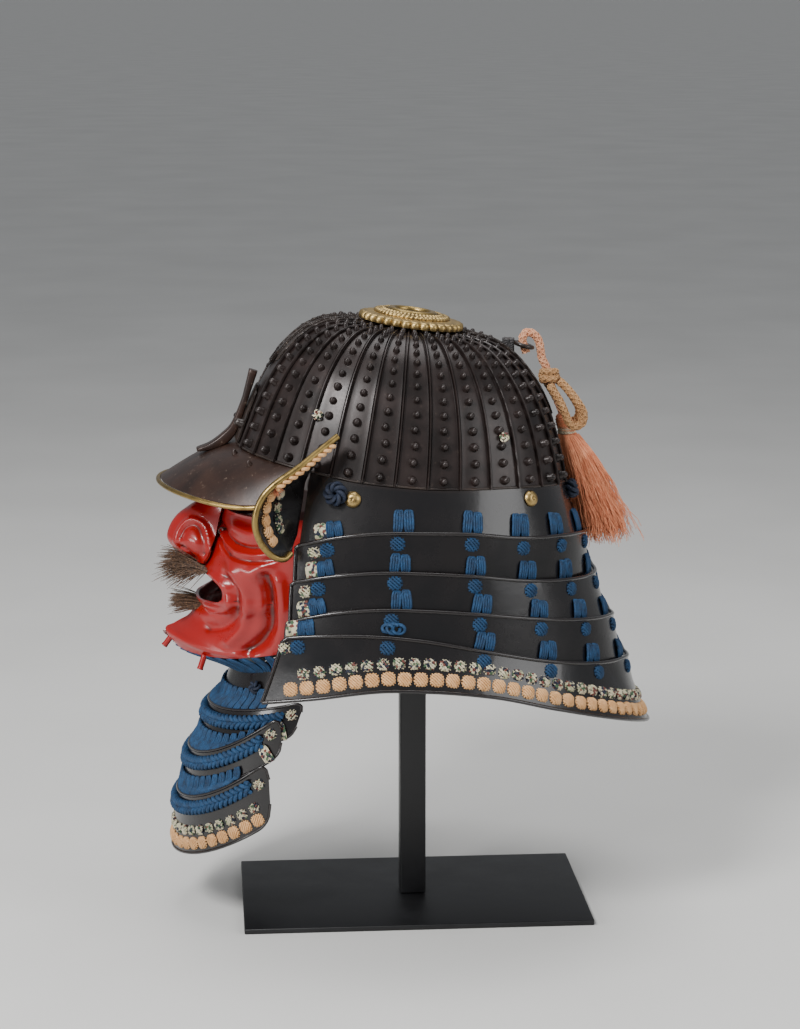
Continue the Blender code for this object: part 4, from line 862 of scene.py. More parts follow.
# %% The neck guard's form
# Each edge's half length, half width and centre's y, all in metres, and where it ends, in degrees
LAME_PLANS = [
    ("rim", 0.1205, 0.1035, 0.0009, 122),
    ("second", 0.1376, 0.1165, 0.003, 120),
    ("third", 0.1480, 0.1240, 0.004, 118),
    ("fourth", 0.1635, 0.1320, 0.006, 115.5),
    ("fifth", 0.1770, 0.1400, 0.008, 114.5),
    ("hem", 0.1976, 0.1520, 0.010, 115),
]
LAME_STOPS = (0, 20, 40, 60, 75, 90, 105, 118)
LAME_HEIGHTS = {
    "second": (-0.0350, -0.0290, -0.0275, -0.0285, -0.0280, -0.0320, -0.0400, -0.0510),
    "third": (-0.0610, -0.0580, -0.0570, -0.0566, -0.0556, -0.0583, -0.0665, -0.0770),
    "fourth": (-0.0930, -0.0860, -0.0830, -0.0810, -0.0800, -0.0825, -0.0920, -0.1060),
    "fifth": (-0.1220, -0.1150, -0.1120, -0.1080, -0.1036, -0.1006, -0.1060, -0.1150),
    "hem": (-0.1680, -0.1580, -0.1480, -0.1385, -0.1320, -0.1340, -0.1480, -0.1590),
}
LAME_EXPONENT = 2.3
LAME_THICK, LAME_GAP, LAME_OVERLAP = 0.002, 0.0024, 0.006
HEM_FLARE = 0.35
EDGE_RADIUS, HEM_RADIUS = 1.35 * MM, 1.3 * MM
LAME_MIDDLE = placed((0, 0, -0.08))


def edge_height(level, angle):
    """Height of a lame's edge at an angle from the rear."""
    name = LAME_PLANS[level][0]
    if name == "rim":
        return rim_height(angle) - 0.6 * MM
    return smooth_value(LAME_STOPS, LAME_HEIGHTS[name], np.abs(np.degrees(angle)))


def edge_at(level, angle, out=0.0):
    """Points of a lame's edge at an angle from the rear."""
    half_length, half_width, centre = LAME_PLANS[level][1:4]
    x, y = oval(angle, half_width + out, half_length + out, LAME_EXPONENT)
    return np.stack([x, y + centre, edge_height(level, angle)], -1)


def lame_at(level, angle, share, out=0.0):
    """Points on a lame's outer face; share runs from its top edge to the next lame's."""
    angle, share = np.broadcast_arrays(np.asarray(angle, float), share)
    tuck = 0.0 if level == 4 else -(LAME_THICK + LAME_GAP)
    a = edge_at(level, angle, out)
    b = edge_at(level + 1, angle * LAME_PLANS[level + 1][4] / LAME_PLANS[level][4], out + tuck)
    p = a + (b - a) * share[..., None]
    if level == 4:
        edge = np.minimum(share, 1 - share)
        p[..., :2] -= (b - a)[..., :2] * (HEM_FLARE * edge / 2 * (1.6 - 1.2 * edge))[..., None]
    return p


def lame_fall(level, angle):
    """Distance from a lame's top edge to the next one's, along its face."""
    return np.linalg.norm(lame_at(level, angle, 1.0) - lame_at(level, angle, 0.0), axis=-1)


def lame_frames(level, angles, downs, ahead=0.0):
    """Places on a lame: angles from the rear, lengths down from its top edge and along it."""
    angles, downs = np.broadcast_arrays(np.asarray(angles, float), np.asarray(downs, float))
    share = downs / lame_fall(level, angles)
    here = placed(lame_at(level, angles, share))
    across = unit(placed(lame_at(level, angles + 0.01, share)) - here)
    down = unit(placed(lame_at(level, angles, share + 0.05)) - here)
    out = unit(np.cross(across, down))
    out *= np.sign(np.sum(out * (here - LAME_MIDDLE) * (1, 1, 0), axis=-1))[..., None]
    down = unit(down - across * np.sum(down * across, -1, keepdims=True))
    return here + across * ahead, np.stack([across, down, out], -2)


def lame_route(level):
    """The line round a lame's free edge: up one front edge, along the top and down the other."""
    end = math.radians(LAME_PLANS[level][4])
    stop = 1.0 if level == 4 else 1.04
    up = lame_at(level, -end, np.linspace(stop, 0.06, 8))
    top = lame_at(level, np.linspace(-end * 0.99, end * 0.99, 181), 0.0)
    down = lame_at(level, end, np.linspace(0.06, stop, 8))
    return np.concatenate([up, top, down])


def build_lames():
    """The five lames, with the rolled edge of each."""
    for level in range(5):
        end = math.radians(LAME_PLANS[level][4])
        angles = np.linspace(-end, end, 145)[None, :]
        fall = lame_fall(level, angles)
        reach = 1.0 if level == 4 else 1.0 + LAME_OVERLAP / fall
        rows = np.linspace(0, 1, 15)[:, None] * reach
        parts = [wall(placed(lame_at(level, angles, rows)), LAME_THICK, LAME_MIDDLE)]
        if level:
            route = lame_route(level)
            parts.append(bar(placed(route + unit(route * (1, 1, 0)) * 0.3 * MM), EDGE_RADIUS, 8))
        if level == 4:
            parts.append(bar(placed(lame_at(4, np.linspace(-end, end, 181), 1.0)), HEM_RADIUS, 8))
        make(f"neck_guard_lame_{level + 1}", parts, black_lacquer,
             [f"neck_lame_{level + 1}"])


build_lames()

# %% [markdown]
# Silk laces join the lames. Above each lame's edge a doubled lace stands in two short strips, and just
# below the edge it comes out again as a small crossed knot. One strip and one cross are made from the
# ridges of the braid, in a few slightly different copies, and set at every place.

# %% Forms of a stitch
def ridged(line, across, width, ridges, thick, tips=True):
    """A flat braid along a line: rounded ridges side by side."""
    line = np.asarray(line, float)
    across = unit(np.broadcast_to(np.asarray(across, float), line.shape))
    pitch = width / ridges
    shrink = np.ones(len(line))
    if tips:
        shrink[[0, -1]] = 0.55
        shrink[[1, -2]] = 0.86
    parts = []
    for k in range(ridges):
        shift = (k - (ridges - 1) / 2) * pitch * shrink
        path = line + across * shift[:, None]
        out = np.cross(np.gradient(path, axis=0), across)
        parts.append(bar(path, pitch * 0.54 * (0.6 + 0.4 * shrink), 7, thick / pitch, out))
    return joined(parts)


def lace_strip(length, width, lean, seed):
    """Two strips side by side; the second axis points down and ends at the lame's edge."""
    shake = np.random.default_rng(seed)
    parts = []
    for side in (-1, 1):
        top = -length + shake.uniform(-0.8, 0.8) * MM
        d = np.concatenate([[top - 0.3 * MM], np.linspace(top + 0.5 * MM, 0.5 * MM, 7), [1.6 * MM]])
        rise = np.array([-0.4, 1.0, 1.5, 1.7, 1.75, 1.7, 1.6, 1.35, 0.5]) * MM
        spread = np.linspace(0.80 + shake.uniform(-0.05, 0.12), 1.10, len(d))
        x = side * width * 0.252 * spread + lean * (d + length) * 0.12 + shake.normal(0, 0.10, len(d)) * MM
        line = np.stack([x, d, rise], 1)
        parts.append(ridged(line, (1, 0, 0), width * 0.47, 4, 1.9 * MM))
    return joined(parts)


def crossed(width, height, seed, ridges=5, thick=1.7 * MM):
    """A crossed stitch: two braids on the diagonals that fill a square with soft corners."""
    shake = np.random.default_rng(seed)
    reach = np.linspace(-1, 1, 9)
    pitch = width * 1.1 / ridges
    parts = []
    for order, way in enumerate((1, -1)):
        tilt = math.radians(shake.uniform(-5, 5))
        for k in range(ridges):
            off = (k - (ridges - 1) / 2) * pitch + shake.normal(0, 0.08) * MM
            half = min(0.64 * width, 0.76 * width - abs(off) * 0.92)
            arch = (1 - np.abs(reach) ** 2.6) * (1.1 + 0.9 * order) * MM * (1 - 1.1 * (off / width) ** 2)
            a = (reach * half + off) * 0.707
            d = (reach * half - off) * 0.707 * way * height / width
            line = np.stack([a * math.cos(tilt) - d * math.sin(tilt),
                             a * math.sin(tilt) + d * math.cos(tilt), arch - 0.2 * MM], 1)
            side = np.cross(line[-1] - line[0], (0, 0, 1))
            out = np.cross(np.gradient(line, axis=0), side)
            parts.append(bar(line, pitch * 0.50 * (1 - 0.30 * reach ** 4), 7, thick / pitch / 1.2, out))
    return joined(parts)


# %% The neck guard's blue laces
# Degrees from the rear, with the names that the solids' laces have
LACE_ANGLES = {"rear": 0, "e": 18, "d": 39.5, "c": 57.5, "b": 75, "a": 92.5, "front": 110.5}
STRIP_WIDTH, STRIP_LENGTH, TOP_LENGTH = 14.8 * MM, 11.0 * MM, 13.8 * MM
CROSS_WIDTH, CROSS_HEIGHT = 8.7 * MM, 8.2 * MM
CROSS_DOWN, STRIP_UP = 7.2 * MM, 1.0 * MM     # from a lame's upper edge and from its lower one
WORN_PLACE = ("a", 3)     # the column and the lame where a strip is missing
LEANS = ((0, 1), (0.5, 2), (-0.4, 3), (0.2, 4))
TOP_KINDS = [lace_strip(TOP_LENGTH, STRIP_WIDTH, lean, seed) for lean, seed in LEANS]
STRIP_KINDS = [lace_strip(STRIP_LENGTH, STRIP_WIDTH, lean, seed) for lean, seed in LEANS]
NARROW_KINDS = [lace_strip(STRIP_LENGTH * 0.9, STRIP_WIDTH * 0.8, 0, seed) for seed in (5, 6)]
CROSS_KINDS = [crossed(CROSS_WIDTH, CROSS_HEIGHT, seed) for seed in (11, 12, 13, 14)]


def spread_copies(kinds, here, frames):
    """Copies of several kinds of one form, in turn."""
    order = np.arange(len(here)) * 7 % len(kinds)
    chosen = [(kind, order == k) for k, kind in enumerate(kinds) if np.any(order == k)]
    return [copies(kind, here[own], frames[own]) for kind, own in chosen]


def build_laces():
    """The blue strips and crosses down each column of the neck guard."""
    for place, degrees in LACE_ANGLES.items():
        sides = {"": 0.0} if degrees == 0 else {"_left": 1.0, "_right": -1.0}
        for tag, side in sides.items():
            angle = side * math.radians(degrees)
            parts = []
            for level in range(5):
                if level < 4 and (place, level) != WORN_PLACE:
                    here, axes = lame_frames(level, [angle], [float(lame_fall(level, angle)) - STRIP_UP])
                    kinds = NARROW_KINDS if place == "front" else STRIP_KINDS if level else TOP_KINDS
                    parts.append(copies(kinds[(level * 3 + int(degrees)) % len(kinds)], here, axes))
                if level:
                    here, axes = lame_frames(level, [angle], [CROSS_DOWN])
                    parts.append(copies(CROSS_KINDS[(level + int(degrees)) % len(CROSS_KINDS)], here, axes))
            if place == WORN_PLACE[0]:
                parts += loose_tangle(angle)
            make(f"blue_lace_{place}{tag}", parts, indigo, [f"lace_{place}{tag}"])


def loose_tangle(angle):
    """Where one lace has worn through, its ends are knotted in loose loops."""
    here, axes = lame_frames(3, [angle], [float(lame_fall(3, angle)) - 5.5 * MM])
    parts = []
    for shift, size, phase in ((-4.0, 4.2, 0.4), (3.5, 3.6, 2.2), (-0.5, 4.6, 4.0)):
        t = np.linspace(0, TAU * 0.9, 22) + phase
        line = np.stack([(shift + size * np.cos(t)) * MM, size * 0.75 * np.sin(t) * MM,
                         (1.9 + 0.8 * np.sin(2 * t)) * MM], 1)
        loops = joined([bar(line + (0, 0, rise * MM), 1.15 * MM, 6) for rise in (0, 0.84)])
        parts.append(copies(loops, here, axes))
    return parts


build_laces()

# %% [markdown]
# Along the hem runs a border of square stitches in faded pink silk, under a row of round stitches
# braided of many colours. The same many-coloured braid runs down each lame's front edge. Their pitch is
# set in millimetres along the edge, so a longer hem gets more stitches.

# %% Hem and ear stitches
HEM_PITCH, SQUARE_SIZE, DOT_SIZE = 11.2 * MM, 8.3 * MM, 7.2 * MM
HEM_ENDS = 13 * MM     # bare at the hem's two ends together
SQUARES_UP, DOTS_UP = 8.2 * MM, 18.8 * MM
SQUARE_KINDS = [crossed(SQUARE_SIZE, SQUARE_SIZE, seed, 6, 1.6 * MM) for seed in (21, 22, 23)]
DOT_KINDS = [crossed(DOT_SIZE, DOT_SIZE * 0.94, seed, 4, 1.4 * MM) for seed in (31, 32)]


def hem_places(down_from_hem, shift=0.0):
    """Angles along the hem, one pitch apart, and how far down the last lame they lie."""
    end = math.radians(LAME_PLANS[4][4])
    angles = np.linspace(-end, end, 801)
    line = lame_at(4, angles, 0.85)
    along = lengths_along(line)
    count = int((along[-1] - HEM_ENDS) / HEM_PITCH)
    first = (along[-1] - count * HEM_PITCH) / 2
    spots = np.interp(first + (np.arange(count) + 0.5 + shift) * HEM_PITCH, along, angles)
    return spots, lame_fall(4, spots) - down_from_hem


def build_hem():
    """The pink squares and the many-coloured dots above the hem."""
    angles, downs = hem_places(SQUARES_UP)
    here, axes = lame_frames(4, angles, downs + rng.normal(0, 0.15 * MM, len(downs)))
    make("hem_pink_stitches", spread_copies(SQUARE_KINDS, here, axes), peach)
    angles, downs = hem_places(DOTS_UP, 0.45)
    here, axes = lame_frames(4, angles[:-1], downs[:-1] + rng.normal(0, 0.25 * MM, len(downs) - 1))
    make("hem_many_coloured_stitches", spread_copies(DOT_KINDS, here, axes), flecked)


def build_ears():
    """The many-coloured lace down the front edges of the lames."""
    front = math.radians(LACE_ANGLES["front"])
    strips = [lace_strip(STRIP_LENGTH * 0.95, 8.5 * MM, 0, seed) for seed in (41, 42)]
    parts = []
    for side in (1, -1):
        for level in range(5):
            if level < 4:
                down = float(lame_fall(level, front)) - STRIP_UP
                here, axes = lame_frames(level, [side * front], [down], side * 9.6 * MM)
                parts.append(copies(strips[level % 2], here, axes))
            if level:
                here, axes = lame_frames(level, [side * front], [CROSS_DOWN + 0.3 * MM], side * 9.3 * MM)
                parts.append(copies(DOT_KINDS[level % 2], here, axes))
    make("ear_many_coloured_lace", parts, flecked)


build_hem()
build_ears()

# %% [markdown]
# Gilt studs with a dimpled head sit on the first lame, and dark blue cord knots mark where the cords
# of the bow were tied. The knot is a real one: a cord wound as a knot on a ring, made from a formula.

# %% Studs and cord knots
STUD_PLACES = {"front": (106, 11.5 * MM), "rear": (49, 7.5 * MM)}
STUD_PROFILE = [(5.7, 0.35), (5.8, 0.9), (5.3, 1.7), (4.3, 2.9), (3.0, 3.7), (2.0, 3.9), (1.5, 3.5),
                (0.7, 3.1), (0.05, 3.05)]
KNOT_PLACES = {"front": (111.5, 10.0 * MM), "rear": (12.5, 6.0 * MM)}


def ring_knot(size, cord, loops=3, turns=7):
    """A cord knot, as a line wound round a ring."""
    t = np.linspace(0, TAU, 161)
    around = size * (0.62 + 0.34 * np.cos(turns * t))
    return bar(np.stack([around * np.cos(loops * t), around * np.sin(loops * t),
                         size * 0.55 + size * 0.45 * np.sin(turns * t)], 1), cord, 7)


def build_studs():
    """The studs and the dark blue knots, both sides."""
    profile = [(r * MM, h * MM) for r, h in STUD_PROFILE]
    for place, (degrees, down) in STUD_PLACES.items():
        for tag, side in (("left", 1), ("right", -1)):
            here, axes = lame_frames(0, [side * math.radians(degrees)], [down])
            make(f"gilt_stud_{place}_{tag}", [copies(turned(profile, 28), here, axes)], brass,
                 [f"stud_{place}_{tag}"])
    parts = []
    for place, (degrees, down) in KNOT_PLACES.items():
        for side in (1, -1):
            here, axes = lame_frames(0, [side * math.radians(degrees)], [down])
            size = 7.6 * MM if place == "front" else 6.0 * MM
            parts.append(copies(ring_knot(size, 1.5 * MM), here, axes))
    make("dark_blue_cord_knots", parts, navy)


build_studs()

# %% [markdown]
# Two tags of cream cord stand on each side of the bowl, the rest of the cords that once held a crest.

# %% Cord tags on the bowl
TAG_PLACES = [(4.62 / PLATES, 0.27), (11.12 / PLATES, 0.265)]


def build_tags():
    """Small knots of cream cord between the rivets."""
    parts = []
    for share, rise in TAG_PLACES:
        for side in (1, -1):
            here, axes = bowl_frames([(side * share) % 1.0], [rise], 0.4 * MM)
            parts.append(copies(ring_knot(3.4 * MM, 0.75 * MM, 2, 5), here, axes))
    make("cream_cord_tags", parts, flecked)


build_tags()

# %% [markdown]
# The peak is one sheet of russet iron hammered to a shallow dome, with a round gilt rim and domed
# rivets along its root. Its inner edge follows the bowl's rim and its outer edge a half ellipse that
# drops towards the ends.

# %% The peak and its rim
PEAK_SHARE, PEAK_HALF_WIDTH, PEAK_END_Y = 0.144, 0.0880, -0.0745
PEAK_LENGTH, PEAK_DROP, PEAK_END_DROP = 0.0951, 0.0348, 0.026
PEAK_BULGE, PEAK_THICK, PEAK_RIM_RADIUS = 0.0035, 0.002, 0.0017
PEAK_RIVET_TURNS, PEAK_RIVET_SHARES = np.array([(-0.60, 0.26), (-0.36, 0.17), (0.36, 0.17), (0.60, 0.26)]).T
PEAK_RIVET_SIZE = 3.6 * MM


def peak_at(turn, share):
    """Points on the peak's upper face: turn from -1 to 1 across it, share from root to rim."""
    turn, share = np.broadcast_arrays(np.asarray(turn, float), share)
    inner = bowl_at((turn * PEAK_SHARE) % 1.0, 0.0, -1.4 * MM)
    inner[..., 2] -= 0.3 * MM
    across = turn * math.pi / 2
    drop = PEAK_DROP - (PEAK_DROP - PEAK_END_DROP) * np.abs(np.sin(across)) ** 20
    side = np.sign(bowl_at([0.1], 0.0)[0, 0])
    outer = np.stack([side * PEAK_HALF_WIDTH * np.sin(across),
                      PEAK_END_Y - PEAK_LENGTH * np.cos(across), -drop], -1)
    row = inner + (outer - inner) * share[..., None]
    row[..., 2] += PEAK_BULGE * np.sin(np.pi * share)
    return row


def build_peak():
    """The russet sheet with its rivets, and the gilt rim round it."""
    turns = np.linspace(-1, 1, 121)[None, :]
    skin = peak_at(turns, np.linspace(0, 1, 25)[:, None])
    parts = [wall(placed(skin), PEAK_THICK, placed((0, -0.13, -0.2)))]
    here, before = (placed(peak_at(PEAK_RIVET_TURNS, PEAK_RIVET_SHARES - back)) for back in (0, 0.05))
    out = unit(here - before)
    across = unit(np.cross(out, (0, 0, 1)))
    axes = np.stack([across, out, np.cross(across, out)], -2) * PEAK_RIVET_SIZE
    axes *= np.sign(axes[:, 2:3, 2:3])
    parts.append(copies(turned(RIVET_PROFILE, 14), here, axes))
    make("peak_russet_iron", parts, russet, ["peak"])
    turns = np.linspace(-1, 1, 161)
    edge = peak_at(turns, 1.0) - (0, 0, PEAK_THICK / 2)
    away = unit((edge - peak_at(turns, 0.9)) * (1, 1, 0.4))
    route = placed(edge + away * 1.5 * MM)
    make("peak_gilt_rim", [bar(route, PEAK_RIM_RADIUS, 14)], rim_brass, ["peak_rim"])


build_peak()

# %% [markdown]
# A plain iron tongue stands on the middle of the peak, to carry a crest. Its foot is a small flange
# riveted to the peak, and it bends up in front of the bowl. It is forged square, with its edges eased,
# and narrows a little towards its tip.

# %% The crest's prong
# Its y and z from the foot up, and half its thickness, in metres
PRONG_LINE = [(-0.1462, -0.0118, 0.0012), (-0.1365, -0.0078, 0.0026), (-0.1272, -0.0008, 0.0040),
              (-0.1212, 0.0090, 0.0031), (-0.1170, 0.0262, 0.0023), (-0.1150, 0.0380, 0.0026),
              (-0.1131, 0.0507, 0.0032)]


PRONG_STEPS, PRONG_SIDES = 60, 24
PRONG_WIDTHS = (6.6 * MM, 4.6 * MM)     # half widths, at the foot and at the tip


def build_prong():
    """The tongue as a bar with square edges, following its own line and thickness."""
    line = smooth_line(PRONG_LINE, PRONG_STEPS)
    route = placed(np.stack([np.zeros(PRONG_STEPS), line[:, 0], line[:, 1]], 1))
    width = np.linspace(*PRONG_WIDTHS, PRONG_STEPS)
    width[-3:] *= [0.98, 0.94, 0.80]
    width[:3] *= [0.7, 0.9, 0.97]
    face = unit(np.cross(unit(np.gradient(route, axis=0)), (1.0, 0.0, 0.0)))
    ring = np.arange(PRONG_SIDES) * TAU / PRONG_SIDES
    wide, deep = (np.sign(side) * np.abs(side) ** 0.4 for side in (np.cos(ring), np.sin(ring)))
    points = (route[:, None] + np.array([1.0, 0, 0]) * (width[:, None] * wide)[..., None]
              + face[:, None] * (line[:, 2:] * deep)[..., None])
    tongue = (points.reshape(-1, 3), tube_faces(PRONG_STEPS, PRONG_SIDES))
    make("crest_prong_iron", [tongue], russet, ["crest_prong"])


build_prong()

# %% [markdown]
# The crown's hole is framed by a gilt ornament in tiers: a scalloped ring of 32 fluted petals, a ring
# of beads like a rope, and a plain collar with a lip. Each tier is turned from a profile, and the
# flutes are waves added to it, one for each petal.

# %% The crown ornament
PETALS = 32
CROWN_CENTRE = np.array([0.0, BOWL_CENTRE_Y + CROWN_SHIFT, BOWL_HEIGHT + 1.55 * MM])


def crown_tier(profile, columns, wave=None):
    """A ring turned about the crown from (radius, height) in millimetres, with a wave on it."""
    profile = smooth_line(profile, 22)
    angle = np.arange(columns) * TAU / columns
    grid = np.zeros((len(profile), columns, 3))
    for row, (r, h) in enumerate(profile):
        radius, height = np.full(columns, r), np.full(columns, h)
        if wave:
            radius, height = wave(radius, height, angle)
        grid[row] = np.stack([radius * np.cos(angle), radius * np.sin(angle), height], 1) * MM + CROWN_CENTRE
    points = placed(grid).reshape(-1, 3)
    index = np.arange(len(points)).reshape(len(profile), columns)
    after = np.roll(index, -1, axis=1)
    index, after = np.vstack([index, index[:1]]), np.vstack([after, after[:1]])
    return points, [np.stack([index[:-1], after[:-1], after[1:], index[1:]], -1).reshape(-1, 4)]


def petal_wave(radius, height, angle):
    """Scalloped at the outer edge and fluted between petals."""
    out = np.clip((radius - 23.5) / 14, 0, 1)
    lobe = np.abs(np.cos(angle * PETALS / 2))
    return (radius - 2.2 * (1 - lobe ** 0.8) * out**2,
            height - 0.4 * (1 - lobe ** 0.7) * np.sin(np.pi * out ** 0.8))


def rope_wave(radius, height, angle):
    """Beads like the strands of a rope."""
    lobe = np.abs(np.sin(angle * 24))
    return radius + 0.35 * (lobe - 0.5), height + 0.5 * (lobe - 0.4) * (height > 7.0)


PETAL_PROFILE = [(23.0, 0.3), (23.0, 5.0), (24.5, 6.5), (29.0, 6.5), (34.0, 6.0), (36.8, 5.4), (37.9, 4.2),
                 (37.9, 1.4), (36.8, 0.5), (30.0, 0.3)]
BEAD_PROFILE = [(18.8, 6.2), (19.4, 8.8), (21.0, 9.9), (22.6, 9.0), (23.3, 8.5), (25.2, 8.9), (26.9, 8.3),
                (27.5, 7.4), (26.8, 6.4), (22.0, 6.1)]
COLLAR_PROFILE = [(12.6, 0.0), (12.5, 9.5), (13.3, 10.8), (15.0, 11.1), (17.0, 10.6), (18.1, 9.3),
                  (18.2, 7.0), (18.0, 0.5)]
for name, profile, columns, wave, metal, node in (
        ("crown_petals", PETAL_PROFILE, 16 * PETALS, petal_wave, brass, "tehen_petals"),
        ("crown_rope_ring", BEAD_PROFILE, 480, rope_wave, brass, "tehen_beads"),
        ("crown_collar", COLLAR_PROFILE, 128, None, rim_brass, "tehen_collar")):
    make(name, [crown_tier(profile, columns, wave)], metal, [node])

# %% [markdown]
# The first lame turns back on each side as a black lacquered leaf, edged with thick gilt brass. Inside
# the brass runs a twisted cord of pink and cream silk, then a frayed orange tuft where it has worn
# through, then pink stitches with many-coloured ones beside them.

# %% The turn-backs' form
# The rim, the horn above it and the seat on the lame, the last as shares down the lame's front edge
TURN_RIM = np.array([
    (0.105, -0.0545, 0.0265), (0.112, -0.0660, 0.0160), (0.119, -0.0778, 0.0051),
    (0.124, -0.0931, -0.0081), (0.126, -0.1006, -0.0193), (0.126, -0.1026, -0.0337),
    (0.124, -0.0977, -0.0472), (0.119, -0.0885, -0.0568), (0.114, -0.0800, -0.0594),
    (0.109, -0.0755, -0.0560)])
TURN_HORN = [(0.1040, -0.0550, 0.0235), (0.1000, -0.0595, 0.0150), (0.0955, -0.0645, 0.0070)]
TURN_SEAT = (0.12, 0.35, 0.6, 0.75, 0.85)
TURN_THICK, TURN_RIM_RADIUS = 0.0018, 0.0023


def turn_lines():
    """The turn-back's root on the first lame and its outer edge, on the left side."""
    edge = math.radians(LAME_PLANS[0][4] + 1.6)
    seat = [lame_at(0, edge, share, -LAME_THICK / 2) for share in TURN_SEAT]
    return smooth_line(np.array(TURN_HORN + [tuple(p) for p in seat]), 91), smooth_line(TURN_RIM, 91)


def turn_at(along, share, side):
    """Points on the leaf: along runs down its edge, share from the root to the rim."""
    root, rim = turn_lines()
    t = np.linspace(0, 1, len(rim))
    along, share = np.broadcast_arrays(np.asarray(along, float), share)
    a = np.stack([np.interp(along, t, root[:, k]) for k in range(3)], -1)
    b = np.stack([np.interp(along, t, rim[:, k]) for k in range(3)], -1)
    p = a + (b - a) * share[..., None]
    p[..., 0] -= 2.0 * MM * 4 * share * (1 - share)
    return p * (side, 1, 1)


def turn_frames(along, share, side, lift):
    """Places on the leaf's outer face: axes along its edge, towards its root, and off it."""
    along, share = np.broadcast_arrays(np.asarray(along, float), np.asarray(share, float))
    here = placed(turn_at(along, share, side))
    run = unit(placed(turn_at(along + 0.01, share, side)) - here)
    away = unit(placed(turn_at(along, share + 0.02, side)) - here)
    out = unit(np.cross(run, away))
    out *= np.sign(out[..., :1] * side)
    away = np.cross(out, run)
    return here + out * lift, np.stack([run, away, out], -2)


# %% The turn-backs with their silk
TURN_PINKS = (0.52, 0.59, 0.665, 0.735, 0.80)
TURN_DOTS = (0.545, 0.63, 0.71, 0.775)


def frayed(place, axes, count, reach, seed):
    """A tuft of loose fibres."""
    shake = np.random.default_rng(seed)
    parts = []
    t = np.linspace(0, 1, 5)[:, None]
    for fibre in range(count):
        way = unit(shake.normal(0, 1, 3) * (1, 1, 0.6) + (0, 0, 0.5))
        line = (way * t + shake.normal(0, 0.3, 3) * t**2 * 0.5) * reach * shake.uniform(0.5, 1.0)
        line += shake.normal(0, 0.9 * MM, 3) * (1, 1, 0)
        parts.append(bar(place + line @ axes, np.linspace(0.28, 0.10, len(t)) * MM, 4))
    return joined(parts)


def build_turnbacks():
    """Each side's leaf, its gilt rim and the silk on it."""
    along = np.linspace(0, 1, 81)[None, :]
    pink_kinds = [crossed(7.4 * MM, 7.0 * MM, seed, 5, 1.6 * MM) for seed in (51, 52)]
    for tag, side in (("left", 1), ("right", -1)):
        skin = placed(turn_at(along, np.linspace(0, 1, 15)[:, None], side)) + (side * TURN_THICK / 2, 0, 0)
        make(f"turnback_leaf_{tag}", [wall(skin, TURN_THICK, placed((0, -0.07, -0.02)))], black_lacquer,
             [f"turnback_{tag}"])
        t = np.linspace(0, 1, 121)
        edge, near = placed(turn_at(t, 1.0, side)), placed(turn_at(t, 0.9, side))
        route = edge + unit(edge - near) * 2.0 * MM
        make(f"turnback_gilt_rim_{tag}", [bar(route, TURN_RIM_RADIUS, 14)], rim_brass,
             [f"turnback_rim_{tag}"])
        here, axes = turn_frames(np.linspace(0.05, 0.44, 40), 0.97, side, 2.6 * MM)
        cord = twisted(here - axes[:, 1] * 1.2 * MM, 5.4 * MM, 2, 1.9)
        make(f"turnback_twisted_cord_{tag}", [cord], peach)
        here, axes = turn_frames([0.475], 0.84, side, 1.0 * MM)
        tuft = frayed(here[0], axes[0], 110, 6.2 * MM, 5)
        make(f"turnback_frayed_tuft_{tag}", [tuft], orange)
        here, axes = turn_frames(TURN_PINKS, 0.84, side, 1.0 * MM)
        make(f"turnback_pink_stitches_{tag}", spread_copies(pink_kinds, here, axes), peach)
        here, axes = turn_frames(TURN_DOTS, 0.58, side, 1.0 * MM)
        dots = [copies(DOT_KINDS[0], here, axes * 0.86)]
        make(f"turnback_many_coloured_{tag}", dots, flecked)


build_turnbacks()

# %% [markdown]
# The half mask is one thin iron plate, red lacquered outside and darker inside. Its form is worked out
# as a smooth shell, and then each fold is added as a stroke: a line in the side view with a height and
# a width, as a smith raises or sinks the metal along a line. The mouth is cut where two lip curves part.

# %% The mask's form
MASK_BACK_Y, MASK_WALL = -0.070, 0.0020
# From the top down: height, the front's y, roundness and half width
MASK_ROWS = np.array([
    (0.3030, -0.1370, 2.5, 0.074), (0.2930, -0.1400, 2.4, 0.076), (0.2800, -0.1440, 2.3, 0.078),
    (0.2660, -0.1500, 2.2, 0.078), (0.2530, -0.1560, 2.1, 0.077), (0.2460, -0.1545, 2.1, 0.076),
    (0.2370, -0.1590, 2.0, 0.075), (0.2300, -0.1540, 1.9, 0.074), (0.2210, -0.1600, 1.7, 0.073),
    (0.2150, -0.1720, 1.5, 0.072), (0.2095, -0.1800, 1.4, 0.071), (0.2045, -0.1765, 1.4, 0.070)])
JAW_TOP, JAW_RISE, JAW_SAG = 0.225, 0.026, 0.012
MOUTH_CORNER, MOUTH_HEIGHT = math.radians(37), 0.2405
LIP_UP, LIP_DOWN = 0.0155, 0.0052
MASK_MIDDLE = np.array([0, -0.08, 0.25])
MASK_UPPER, MASK_LOWER, MASK_ACROSS = 84, 60, 221     # grid points above, below and across the mouth
NOSE_HOLE_HALF, NOSE_HOLE_LOW = 12 * MM, 0.268
FOLD_DEPTH = 1.3     # times the heights of the strokes below
